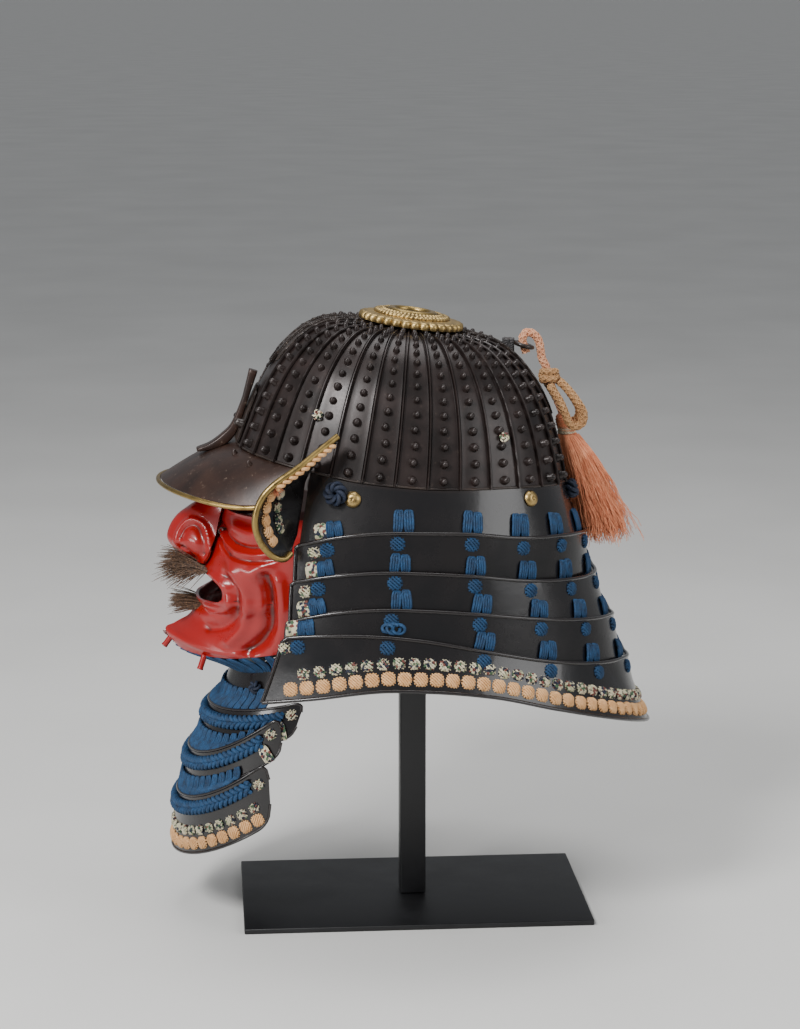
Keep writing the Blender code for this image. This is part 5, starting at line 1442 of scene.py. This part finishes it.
# Strokes in the side view: points (y, z), height and width, all in millimetres
MASK_STROKES = [
    ([(-146, 257), (-139, 251), (-135.5, 242), (-136.5, 233), (-146, 230), (-156, 233)], 1.3, 2.4),
    ([(-137, 258), (-131, 250), (-130, 240), (-131, 228), (-140, 219), (-150, 216)], -2.6, 3.2),
    ([(-130, 262), (-123, 250), (-122, 236), (-125, 222), (-135, 209)], 2.6, 4.0),
    ([(-109, 262), (-106.5, 250), (-106, 235), (-107, 222), (-113, 211), (-122, 203)], -5.0, 4.2),
    ([(-100, 258), (-98, 240), (-98, 222), (-103, 208)], 1.8, 5.0),
    ([(-129, 268), (-120, 264), (-112, 266)], 3.6, 7.5),
    ([(-138, 291), (-132, 284), (-120, 281.5), (-106, 284)], -1.5, 1.7),
    ([(-141, 288), (-134, 279.5), (-120, 276.5), (-104, 279)], 1.2, 1.5),
    ([(-142, 284), (-135, 275), (-120, 272), (-103, 275)], -1.3, 1.6),
    ([(-128, 293), (-118, 291), (-106, 292)], 2.6, 5.0),
    ([(-139, 303), (-124, 303.5), (-104, 303)], 0.9, 1.8),
    ([(-178, 209), (-160, 203), (-140, 200), (-118, 201)], 1.3, 2.6),
    ([(-160, 224), (-151, 224), (-146, 226)], 2.2, 5.0),
]


def stroke_lift(points, strokes):
    """How far strokes raise or sink a surface at points, from their distance in the side view."""
    lift = np.zeros(points.shape[:-1])
    flat = points[..., 1:] / MM
    for line, height, width in strokes:
        line = smooth_line(np.array(line, float), 24)
        near = np.full(lift.shape, np.inf)
        for a, b in zip(line[:-1], line[1:]):
            t = np.clip(np.sum((flat - a) * (b - a), -1) / max((b - a) @ (b - a), 1e-9), 0, 1)
            near = np.minimum(near, np.linalg.norm(flat - a - t[..., None] * (b - a), axis=-1))
        lift += height * MM * np.exp(-(near / width) ** 2)
    return lift


def mask_row(height):
    """The front's place, the roundness and the half width at heights."""
    return (smooth_value(MASK_ROWS[::-1, 0], MASK_ROWS[::-1, k], height) for k in (1, 2, 3))


def mask_at(height, angle, inset=0.0):
    """Points on the plain shell; the angle runs from -90 to 90 degrees across the face."""
    height, angle = np.broadcast_arrays(np.asarray(height, float), angle)
    front, roundness, half = mask_row(height)
    x, y = oval(angle, half - inset, MASK_BACK_Y - front - inset, roundness)
    jaw = np.maximum(0.0, (JAW_TOP - height) / JAW_RISE)
    side = np.abs(angle) / (math.pi / 2)
    drop = jaw * (JAW_RISE * side**4 - JAW_SAG * np.sin(np.pi * side**0.8))
    return np.stack([x, MASK_BACK_Y - y, height + drop], -1)


def mask_face(x, z):
    """The plain shell's y at a place seen from the front."""
    front, roundness, half = mask_row(z)
    return MASK_BACK_Y + (front - MASK_BACK_Y) * (1 - np.abs(x / half) ** roundness) ** (1 / roundness)


def mask_grid():
    """The folded shell's skin as a grid, its normals and the cells of its holes."""
    angle = np.linspace(-math.pi / 2, math.pi / 2, MASK_ACROSS)
    angle = angle - 0.10 * np.sin(2 * angle)
    part = np.sqrt(np.clip(1 - np.abs(angle / MOUTH_CORNER) ** 5, 0, 1))
    upper, lower = MOUTH_HEIGHT + LIP_UP * part, MOUTH_HEIGHT - 0.02 * MM - LIP_DOWN * part
    high = MASK_ROWS[0, 0] + (upper - MASK_ROWS[0, 0]) * np.linspace(0, 1, MASK_UPPER)[:, None]
    low = lower + (MASK_ROWS[-1, 0] - lower) * np.linspace(0, 1, MASK_LOWER)[:, None]
    height = np.concatenate([high, low])
    skin = mask_at(height, angle[None, :])
    skin = skin + skin_normals(skin, MASK_MIDDLE) * FOLD_DEPTH * stroke_lift(skin, MASK_STROKES)[..., None]
    holes = np.zeros((len(height) - 1, len(angle) - 1), bool)
    holes[len(high) - 1, :] = (part[1:] > 0) | (part[:-1] > 0)
    inner = np.abs(skin[..., 0]) < NOSE_HOLE_HALF
    holes |= inner[:-1, :-1] & inner[1:, 1:] & (height[:-1, :-1] > NOSE_HOLE_LOW)
    return skin, skin_normals(skin, MASK_MIDDLE), holes


def build_mask():
    """The face plate, and a thin darker coat inside it."""
    skin, normals, holes = mask_grid()
    plate = wall(skin, MASK_WALL, MASK_MIDDLE, holes=holes)
    make("mask_red_plate", [plate], red_lacquer, ["mask"])
    inside = skin[::2, ::2] - normals[::2, ::2] * (MASK_WALL + 0.15 * MM)
    rows, columns = inside.shape[:2]
    covered = holes[:2 * (rows - 1), :2 * (columns - 1)]
    coarse = covered[::2, ::2] | covered[1::2, ::2] | covered[::2, 1::2] | covered[1::2, 1::2]
    coat = wall(inside, 0.25 * MM, MASK_MIDDLE, holes=coarse)
    make("mask_inside_lacquer", [coat], dark_red)


build_mask()

# %% [markdown]
# The nose is a separate plate, hooked and swollen at the wings, pinned to the face through two small
# rings. A raised swirl runs round each wing and a slit opens the nostril.

# %% The nose and its pins
NOSE_HALF_WIDTH = 0.026
# Down its ridge: y, height and the share of its width
NOSE_LINE = np.array([
    (-0.1520, 0.3065, 0.76), (-0.1630, 0.3000, 0.78), (-0.1710, 0.2940, 0.84), (-0.1765, 0.2860, 0.92),
    (-0.1785, 0.2770, 1.00), (-0.1740, 0.2700, 1.00), (-0.1620, 0.2620, 0.88)])
NOSE_STROKES = [
    ([(-160, 279), (-157, 278)], 4.2, 8.0),
    ([(-172, 276), (-168, 286), (-161, 292.5), (-152, 290), (-147.5, 280), (-147, 270), (-150, 264)],
     2.1, 2.0),
    ([(-168, 280), (-163.5, 287), (-157, 288), (-152.5, 280), (-152, 270)], -1.5, 1.8),
    ([(-167.5, 272.5), (-163, 269), (-159.5, 264)], -4.0, 1.9),
    ([(-163, 301), (-155, 298)], 1.0, 3.5),
]


def build_nose():
    """The nose's plate, and the two rings and pins that hold it."""
    line = smooth_line(NOSE_LINE, 75)
    t = np.linspace(-1, 1, 81)[None, :]
    front, height, wide = line[:, :1], line[:, 1:2], NOSE_HALF_WIDTH * line[:, 2:]
    seat = mask_face(wide, np.minimum(height, 0.3029)) - MASK_WALL - 0.8 * MM
    y = front + (seat - front) * np.abs(t) ** 1.8
    skin = np.stack([wide * t, y, height + 0 * t], -1)
    aside = np.clip(np.abs(skin[..., 0]) / (7 * MM), 0, 1) ** 2
    lift = (stroke_lift(skin, NOSE_STROKES) * aside)[..., None]
    skin = skin + skin_normals(skin, (0, -0.145, 0.28)) * lift
    plate = wall(skin, 1.8 * MM, (0, -0.13, 0.28))
    make("nose_red_plate", [plate], red_lacquer, ["mask_nose"])
    parts = []
    turn = np.linspace(0, TAU, 25)
    for side in (1, -1):
        spot = np.array([side * 0.0305, -0.1385, 0.2875])
        ring = np.stack([0.0012 * np.sin(turn) * side, 0.0026 * np.cos(turn), 0.0026 * np.sin(turn)], 1)
        parts.append(bar(spot + ring, 0.55 * MM, 8))
        pin = [spot + (side * 0.0005, 0.001, 0.001), spot + (side * 0.003, 0.0, 0.0015)]
        parts.append(bar(pin, 0.7 * MM, 8))
    make("nose_pins", parts, edge_iron)


build_nose()

# %% [markdown]
# A moustache and a chin tuft of animal hair are set in holes along the lip and the chin. Each hair is a
# thin bar that starts at its hole, follows the lip forwards and fans out at its tip.

# %% Hair
def animal_hair(name):
    """Dark brown animal hair, with its colour changing from hair to hair."""
    made, node, place = finish(name, "#2b1d14", 0.6, sheen_weight=0.15)
    strands = node("TexNoise", {"Scale": 1 / (1.2 * MM), "Detail": 3.0}, {"Vector": place})
    hue = node("ValToRGB", {}, {"Fac": strands}, [(0.35, "#2a1b12"), (0.55, "#5a402b"), (0.75, "#8a6a4c")])
    return feed(made, base_color=hue)


hair = animal_hair("brown_animal_hair")
LIP_HAIRS, CHIN_HAIRS = 560, 200
HAIR_RADII = np.array([0.30, 0.30, 0.29, 0.27, 0.23, 0.18, 0.09]) * MM     # drawn coarse, as in tufts


def build_hair():
    """The moustache along the lip and the tuft on the chin."""
    shake = np.random.default_rng(23)
    parts = []
    for k in range(LIP_HAIRS):
        side = 1 if k % 2 else -1
        u = shake.uniform(0, 1) ** 1.5
        x = 6 + 24 * u
        height = 0.2605 - 0.003 * u + shake.normal(0, 0.6) * MM
        root = np.array([x * MM, mask_face(x * MM, height) - 0.5 * MM, height])
        spread = shake.normal(0, 1, 3)
        tip = np.array([(8 + 0.42 * x + 4.2 * spread[0]) * MM, -0.180 + 0.0045 * spread[1] + 0.012 * u,
                        0.2565 + 0.0062 * spread[2] - 0.001 * u])
        tip[1] = min(max(tip[1], -0.1905), root[1] - 0.006)
        middle = root * 0.5 + tip * 0.5
        middle[1] = min(middle[1], mask_face(middle[0], 0.260) - 1.5 * MM)
        middle += (0.5 * MM * spread[1], 0, (0.7 + 0.5 * spread[0]) * MM)
        line = smooth_line([root, middle, tip], len(HAIR_RADII)) * (side, 1, 1)
        parts.append(bar(line, HAIR_RADII, 4))
    for strand in range(CHIN_HAIRS):
        spread = shake.normal(0, 1, 3)
        x, z = 5.5 * np.clip(spread[0], -1.6, 1.6), 0.2285 + 0.0013 * spread[2]
        root = np.array([x * MM, mask_face(x * MM, z) + 1.0 * MM, z])
        tip = np.array([x * 1.25 * MM, -0.1745 + 0.0022 * spread[1], z + 0.0022 * spread[2] + 0.0012])
        line = smooth_line([root, root * 0.5 + tip * 0.5 + (0, 0, 0.6 * MM), tip], len(HAIR_RADII))
        parts.append(bar(line, HAIR_RADII, 4))
    make("moustache_and_chin_hair", parts, hair, tidy=False)


build_hair()

# %% [markdown]
# Under the jaw stand two pegs for the chin cord and, in the middle, the drain. They are short red
# lacquered tubes; the drain is hollow at its end.

# %% Pegs under the jaw
# Degrees across the face, how far each leans forwards, and how far in it stands
PEGS = {"mask_drain": (0, 0.75, 0.5), "mask_peg_left": (33, 0.35, 0.1), "mask_peg_right": (-33, 0.35, 0.1)}
PEG_RADIUS, PEG_LENGTH = 2.2 * MM, 11 * MM
PEG_SHARES = np.array([0.0, 0.04, 0.85, 0.93, 0.98, 1.0, 1.0, 0.9])     # of its length
PEG_WIDTHS = np.array([1.0, 1.0, 0.98, 1.08, 1.10, 1.0, 0.62, 0.6])     # of its radius


def build_pegs():
    """The drain and the two pegs, each turned round its own line with a lip at the end."""
    for node, (degrees, forward, depth) in PEGS.items():
        turn = math.radians(degrees)
        foot = mask_at(MASK_ROWS[-1, 0], turn, 2.2 * MM * depth)
        away = unit(np.array([0.35 * math.sin(turn), -forward, -1.0]))
        start = foot + (0, 0, 0.6 * MM)
        width = PEG_WIDTHS * PEG_RADIUS
        route = start + away * PEG_SHARES[:, None] * PEG_LENGTH
        route[5:7] += away * np.array([[0.05], [0.06]]) * MM
        side = unit(np.cross(away, (1.0, 0, 0)))
        ring = np.arange(20) * TAU / 20
        circle = np.cos(ring)[:, None] * side + np.sin(ring)[:, None] * np.cross(side, away)
        points = (route[:, None] + circle * width[:, None, None]).reshape(-1, 3)
        make(node + "_tube", [(points, tube_faces(len(route), 20))], red_lacquer, [node])


build_pegs()

# %% [markdown]
# The throat guard is four curved plates of black lacquered iron hung from the mask and from each other
# by close rows of blue silk. The plates' corners are rounded off at the rear.

# %% The throat guard's form
# Its top edge: the (y, z) of the front and of the ends, and the half width; then the same for its foot
THROAT_LAMES = [
    ("throat_lame_a", (-0.131, 0.188), (-0.074, 0.1995), 0.060, (-0.140, 0.164), (-0.080, 0.1760), 0.064),
    ("throat_lame_b", (-0.150, 0.156), (-0.082, 0.1710), 0.071, (-0.157, 0.132), (-0.091, 0.1460), 0.074),
    ("throat_lame_c", (-0.165, 0.122), (-0.100, 0.1620), 0.076, (-0.170, 0.096), (-0.099, 0.1350), 0.078),
    ("throat_lame_d", (-0.174, 0.089), (-0.109, 0.1300), 0.079, (-0.1785, 0.047), (-0.107, 0.0855), 0.081),
]
THROAT_THICK, THROAT_LIFT, THROAT_STEP = 0.0016, 0.0009, 0.004
THROAT_MIDDLE = np.array([0, -0.09, 0.12])


def throat_edge(front, end, half_width, turn, out):
    """Points of a throat plate's edge; turn runs from -1 to 1 across the wearer's front."""
    x, y = oval(turn * math.pi / 2, half_width + out, 1.0, 1.9)
    rise = (1 - y) ** 1.2
    return np.stack([x, end[0] - (end[0] - front[0] + out) * y, front[1] + (end[1] - front[1]) * rise], -1)


def throat_at(index, turn, share, out=0.0):
    """Points on a throat plate; share runs from its top edge to its foot."""
    turn, share = np.broadcast_arrays(np.asarray(turn, float), share)
    lame = THROAT_LAMES[index]
    top = throat_edge(lame[1], lame[2], lame[3], turn, out)
    return top + (throat_edge(lame[4], lame[5], lame[6], turn, out) - top) * share[..., None]


def throat_frames(index, turns, shares, lift):
    """Places on a throat plate, with axes along it, down it and off it."""
    turns, shares = np.broadcast_arrays(np.asarray(turns, float), np.asarray(shares, float))
    here = throat_at(index, turns, shares)
    across = unit(throat_at(index, turns + 0.01, shares) - here)
    down = unit(throat_at(index, turns, shares + 0.02) - here)
    down = unit(down - across * np.sum(down * across, -1, keepdims=True))
    out = np.cross(across, down)
    out *= np.sign(np.sum(out * (here - THROAT_MIDDLE) * (1, 1, 0), -1))[..., None]
    return here + out * lift, np.stack([across, down, out], -2)


def even_turns(index, share, pitch, reach):
    """Turns across a plate one pitch apart."""
    turns = np.linspace(-reach, reach, 401)
    line = throat_at(index, turns, share)
    along = lengths_along(line)
    count = int(along[-1] / pitch)
    return np.interp((np.arange(count) + 0.5) * along[-1] / count, along, turns)


def build_throat_plates():
    """The four plates, with the rolled edge and foot of each."""
    turns = np.linspace(-1, 1, 121)
    corner = 1 - np.sqrt(np.clip(1 - ((np.abs(turns) - 0.90) / 0.10).clip(0, 1) ** 2.5, 0, 1))
    for index, lame in enumerate(THROAT_LAMES):
        low, high = corner * 0.30, 1 - corner * 0.30
        share = low + (high - low) * np.linspace(0, 1, 13)[:, None]
        skin = throat_at(index, turns[None, :], share)
        edge = bar(skin[0] + (0, 0, 0.2 * MM), 1.1 * MM, 8)
        foot = bar(skin[-1], 1.0 * MM, 8)
        make(lame[0] + "_plate", [wall(skin, THROAT_THICK, THROAT_MIDDLE), edge, foot], black_lacquer,
             [lame[0]])


build_throat_plates()

# %% The throat guard's laces
LACE_PITCH = 7.0 * MM
THROAT_REACHES = (0.72, 0.70, 0.72)
THROAT_DROPS = (0.025, 0.027, 0.043)


def lace_bundle(points, index, turn):
    """One hanging lace at a turn of a plate: three ridges side by side."""
    across = throat_at(index, turn + 0.01, 0.5) - throat_at(index, turn, 0.5)
    return ridged(smooth_line(points, 12), across, 6.3 * MM, 3, 2.2 * MM)


def build_throat_laces():
    """The rows of hanging laces and the twisted rows below them."""
    for index, reach in enumerate(THROAT_REACHES):
        parts = []
        for turn in even_turns(index, 0.9, LACE_PITCH, reach):
            top, foot = throat_at(index, turn, 0.0), throat_at(index, turn, 1.0)
            edge = throat_at(index + 1, turn, 0.0)
            stop = min((top[2] - edge[2] - THROAT_STEP) / (top[2] - foot[2]), 0.98)
            lift = THROAT_LIFT + 0.9 * MM
            line = [throat_at(index, turn, s, lift) for s in (max(stop * 0.70, 0.3), stop)]
            line += [throat_at(index + 1, turn, s, away * MM) for s, away in ((-0.05, -1.0), (0.16, -3.2))]
            parts.append(lace_bundle(line, index, turn))
        make(f"throat_laces_{index + 1}", parts, indigo, [f"throat_lacing_{index + 1}"])
        turns = np.linspace(-0.86, 0.86, 96)
        rows = []
        for down, lay in ((6.0 * MM, 1.5), (10.9 * MM, -1.5)):
            row = throat_at(index + 1, turns, down / THROAT_DROPS[index], 1.7 * MM)
            rows.append(twisted(row, 6.0 * MM, 2, lay))
        make(f"throat_twisted_row_{index + 1}", rows, indigo)
    parts = []
    for turn in np.linspace(-0.92, 0.92, 31):
        rim = mask_at(MASK_ROWS[-1, 0], turn * math.pi / 2, 0.6 * MM) - (0, 0, 0.4 * MM)
        foot = throat_at(0, turn, 0.30, -3.4 * MM)
        middle = (rim + foot) / 2 + (0, 0.002, 0)
        parts.append(lace_bundle([rim, middle, foot], 0, turn))
    make("throat_hanging_laces", parts, indigo, ["throat_hanger"])


def build_throat_stitches():
    """Many-coloured stitches at the plates' ends, and the borders of the lowest plate."""
    dots = []
    for index, share in ((0, 0.5), (1, 0.30), (2, 0.30), (3, 0.27)):
        here, axes = throat_frames(index, [-0.925, 0.925], [share, share], 0.4 * MM)
        dots.append(copies(DOT_KINDS[index % 2], here, axes * 0.95))
        if index < 3:
            here, axes = throat_frames(index, [-0.915, 0.915], [0.95, 0.95], 0.4 * MM)
            dots.append(copies(NARROW_FLECK, here, axes))
    turns = even_turns(3, 0.6, 10.4 * MM, 0.93)
    here, axes = throat_frames(3, turns, 0.60, 0.3 * MM)
    dots += spread_copies(DOT_KINDS, here, axes * 0.9)
    make("throat_many_coloured_stitches", dots, flecked)
    turns = even_turns(3, 0.84, 10.4 * MM, 0.95)
    here, axes = throat_frames(3, turns, 0.83, 0.3 * MM)
    make("throat_pink_stitches", spread_copies(SQUARE_KINDS, here, axes * 0.93), peach)
    here, axes = throat_frames(0, [-0.55, 0.55], [0.66, 0.66], 0.3 * MM)
    make("throat_dark_knots", [copies(ring_knot(4.2 * MM, 1.1 * MM, 2, 5), here, axes)], navy)


NARROW_FLECK = lace_strip(11 * MM, 7.5 * MM, 0, 61)
build_throat_laces()
build_throat_stitches()

# %% [markdown]
# At the rear an iron lug carries a ring for the bow. Grey cord is wound round the lug below it. The
# lug is a forged block with soft edges, and the ring is round wire.

# %% The ring, its lug and the grey winding
RING_CENTRE = np.array([0.0, 0.0805, 0.4150])
RING_RADIUS, RING_WIRE, RING_LEAN = 6.6 * MM, 1.6 * MM, math.radians(-17)


def soft_box(centre, size, edge, steps=3):
    """A block with rounded edges."""
    form = bmesh.new()
    bmesh.ops.create_cube(form, size=1.0)
    bmesh.ops.scale(form, vec=size, verts=form.verts)
    bmesh.ops.bevel(form, geom=form.edges[:], offset=edge, segments=steps, affect="EDGES", profile=0.5)
    bmesh.ops.triangulate(form, faces=form.faces)
    form.verts.ensure_lookup_table()
    points = np.array([v.co for v in form.verts]) + np.asarray(centre)
    faces = np.array([[v.index for v in f.verts] for f in form.faces])
    form.free()
    return points, [faces]


def build_ring():
    """The ring in its lug, and the grey cord round the lug."""
    turn = np.linspace(0, TAU, 65)
    flat = np.stack([RING_RADIUS * np.cos(turn), RING_RADIUS * np.sin(turn), 0 * turn], 1)
    lean = np.array([[1, 0, 0], [0, math.cos(RING_LEAN), math.sin(RING_LEAN)],
                     [0, -math.sin(RING_LEAN), math.cos(RING_LEAN)]])
    ring = bar(RING_CENTRE + flat @ lean, RING_WIRE, 12, 1.0, lean[2])
    make("rear_iron_ring", [ring], edge_iron, ["rear_ring"])
    low, high = (np.array(corner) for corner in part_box("ring_lug"))
    centre, parts = (low + high) / 2, []
    make("rear_iron_lug", [soft_box(centre, high - low, 0.9 * MM)], edge_iron, ["ring_lug"])
    for k, lift in enumerate(np.linspace(low[2] + 1.0 * MM, high[2] - 1.2 * MM, 6)):
        loop = np.stack([(high[0] - low[0]) * 0.60 * np.cos(turn), (high[1] - low[1]) * 0.60 * np.sin(turn),
                         0.4 * MM * np.sin(6 * turn + k)], 1)
        parts.append(braided(np.array([centre[0], centre[1], lift]) + loop, 2.3 * MM, 3, 1.6, 5))
    make("grey_cord_winding", parts, grey_silk)


build_ring()

# %% [markdown]
# The stand is a flat steel foot, a square steel post and a thin arm that holds the mask. All edges are
# slightly rounded, because sharp ones would cut through the paint.

# %% The stand
def build_stand():
    """The plate and the post with soft edges; the thin rest and arm keep the solids' own shape."""
    for node, edge in (("stand_base", 0.9 * MM), ("stand_post", 1.3 * MM)):
        low, high = (np.array(corner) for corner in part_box(node))
        make(node + "_steel", [soft_box((low + high) / 2, high - low, edge)], steel, [node])
    for node in ("crown_rest", "mask_arm"):
        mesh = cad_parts[node].data
        mesh.materials.clear()
        mesh.materials.append(steel)


build_stand()
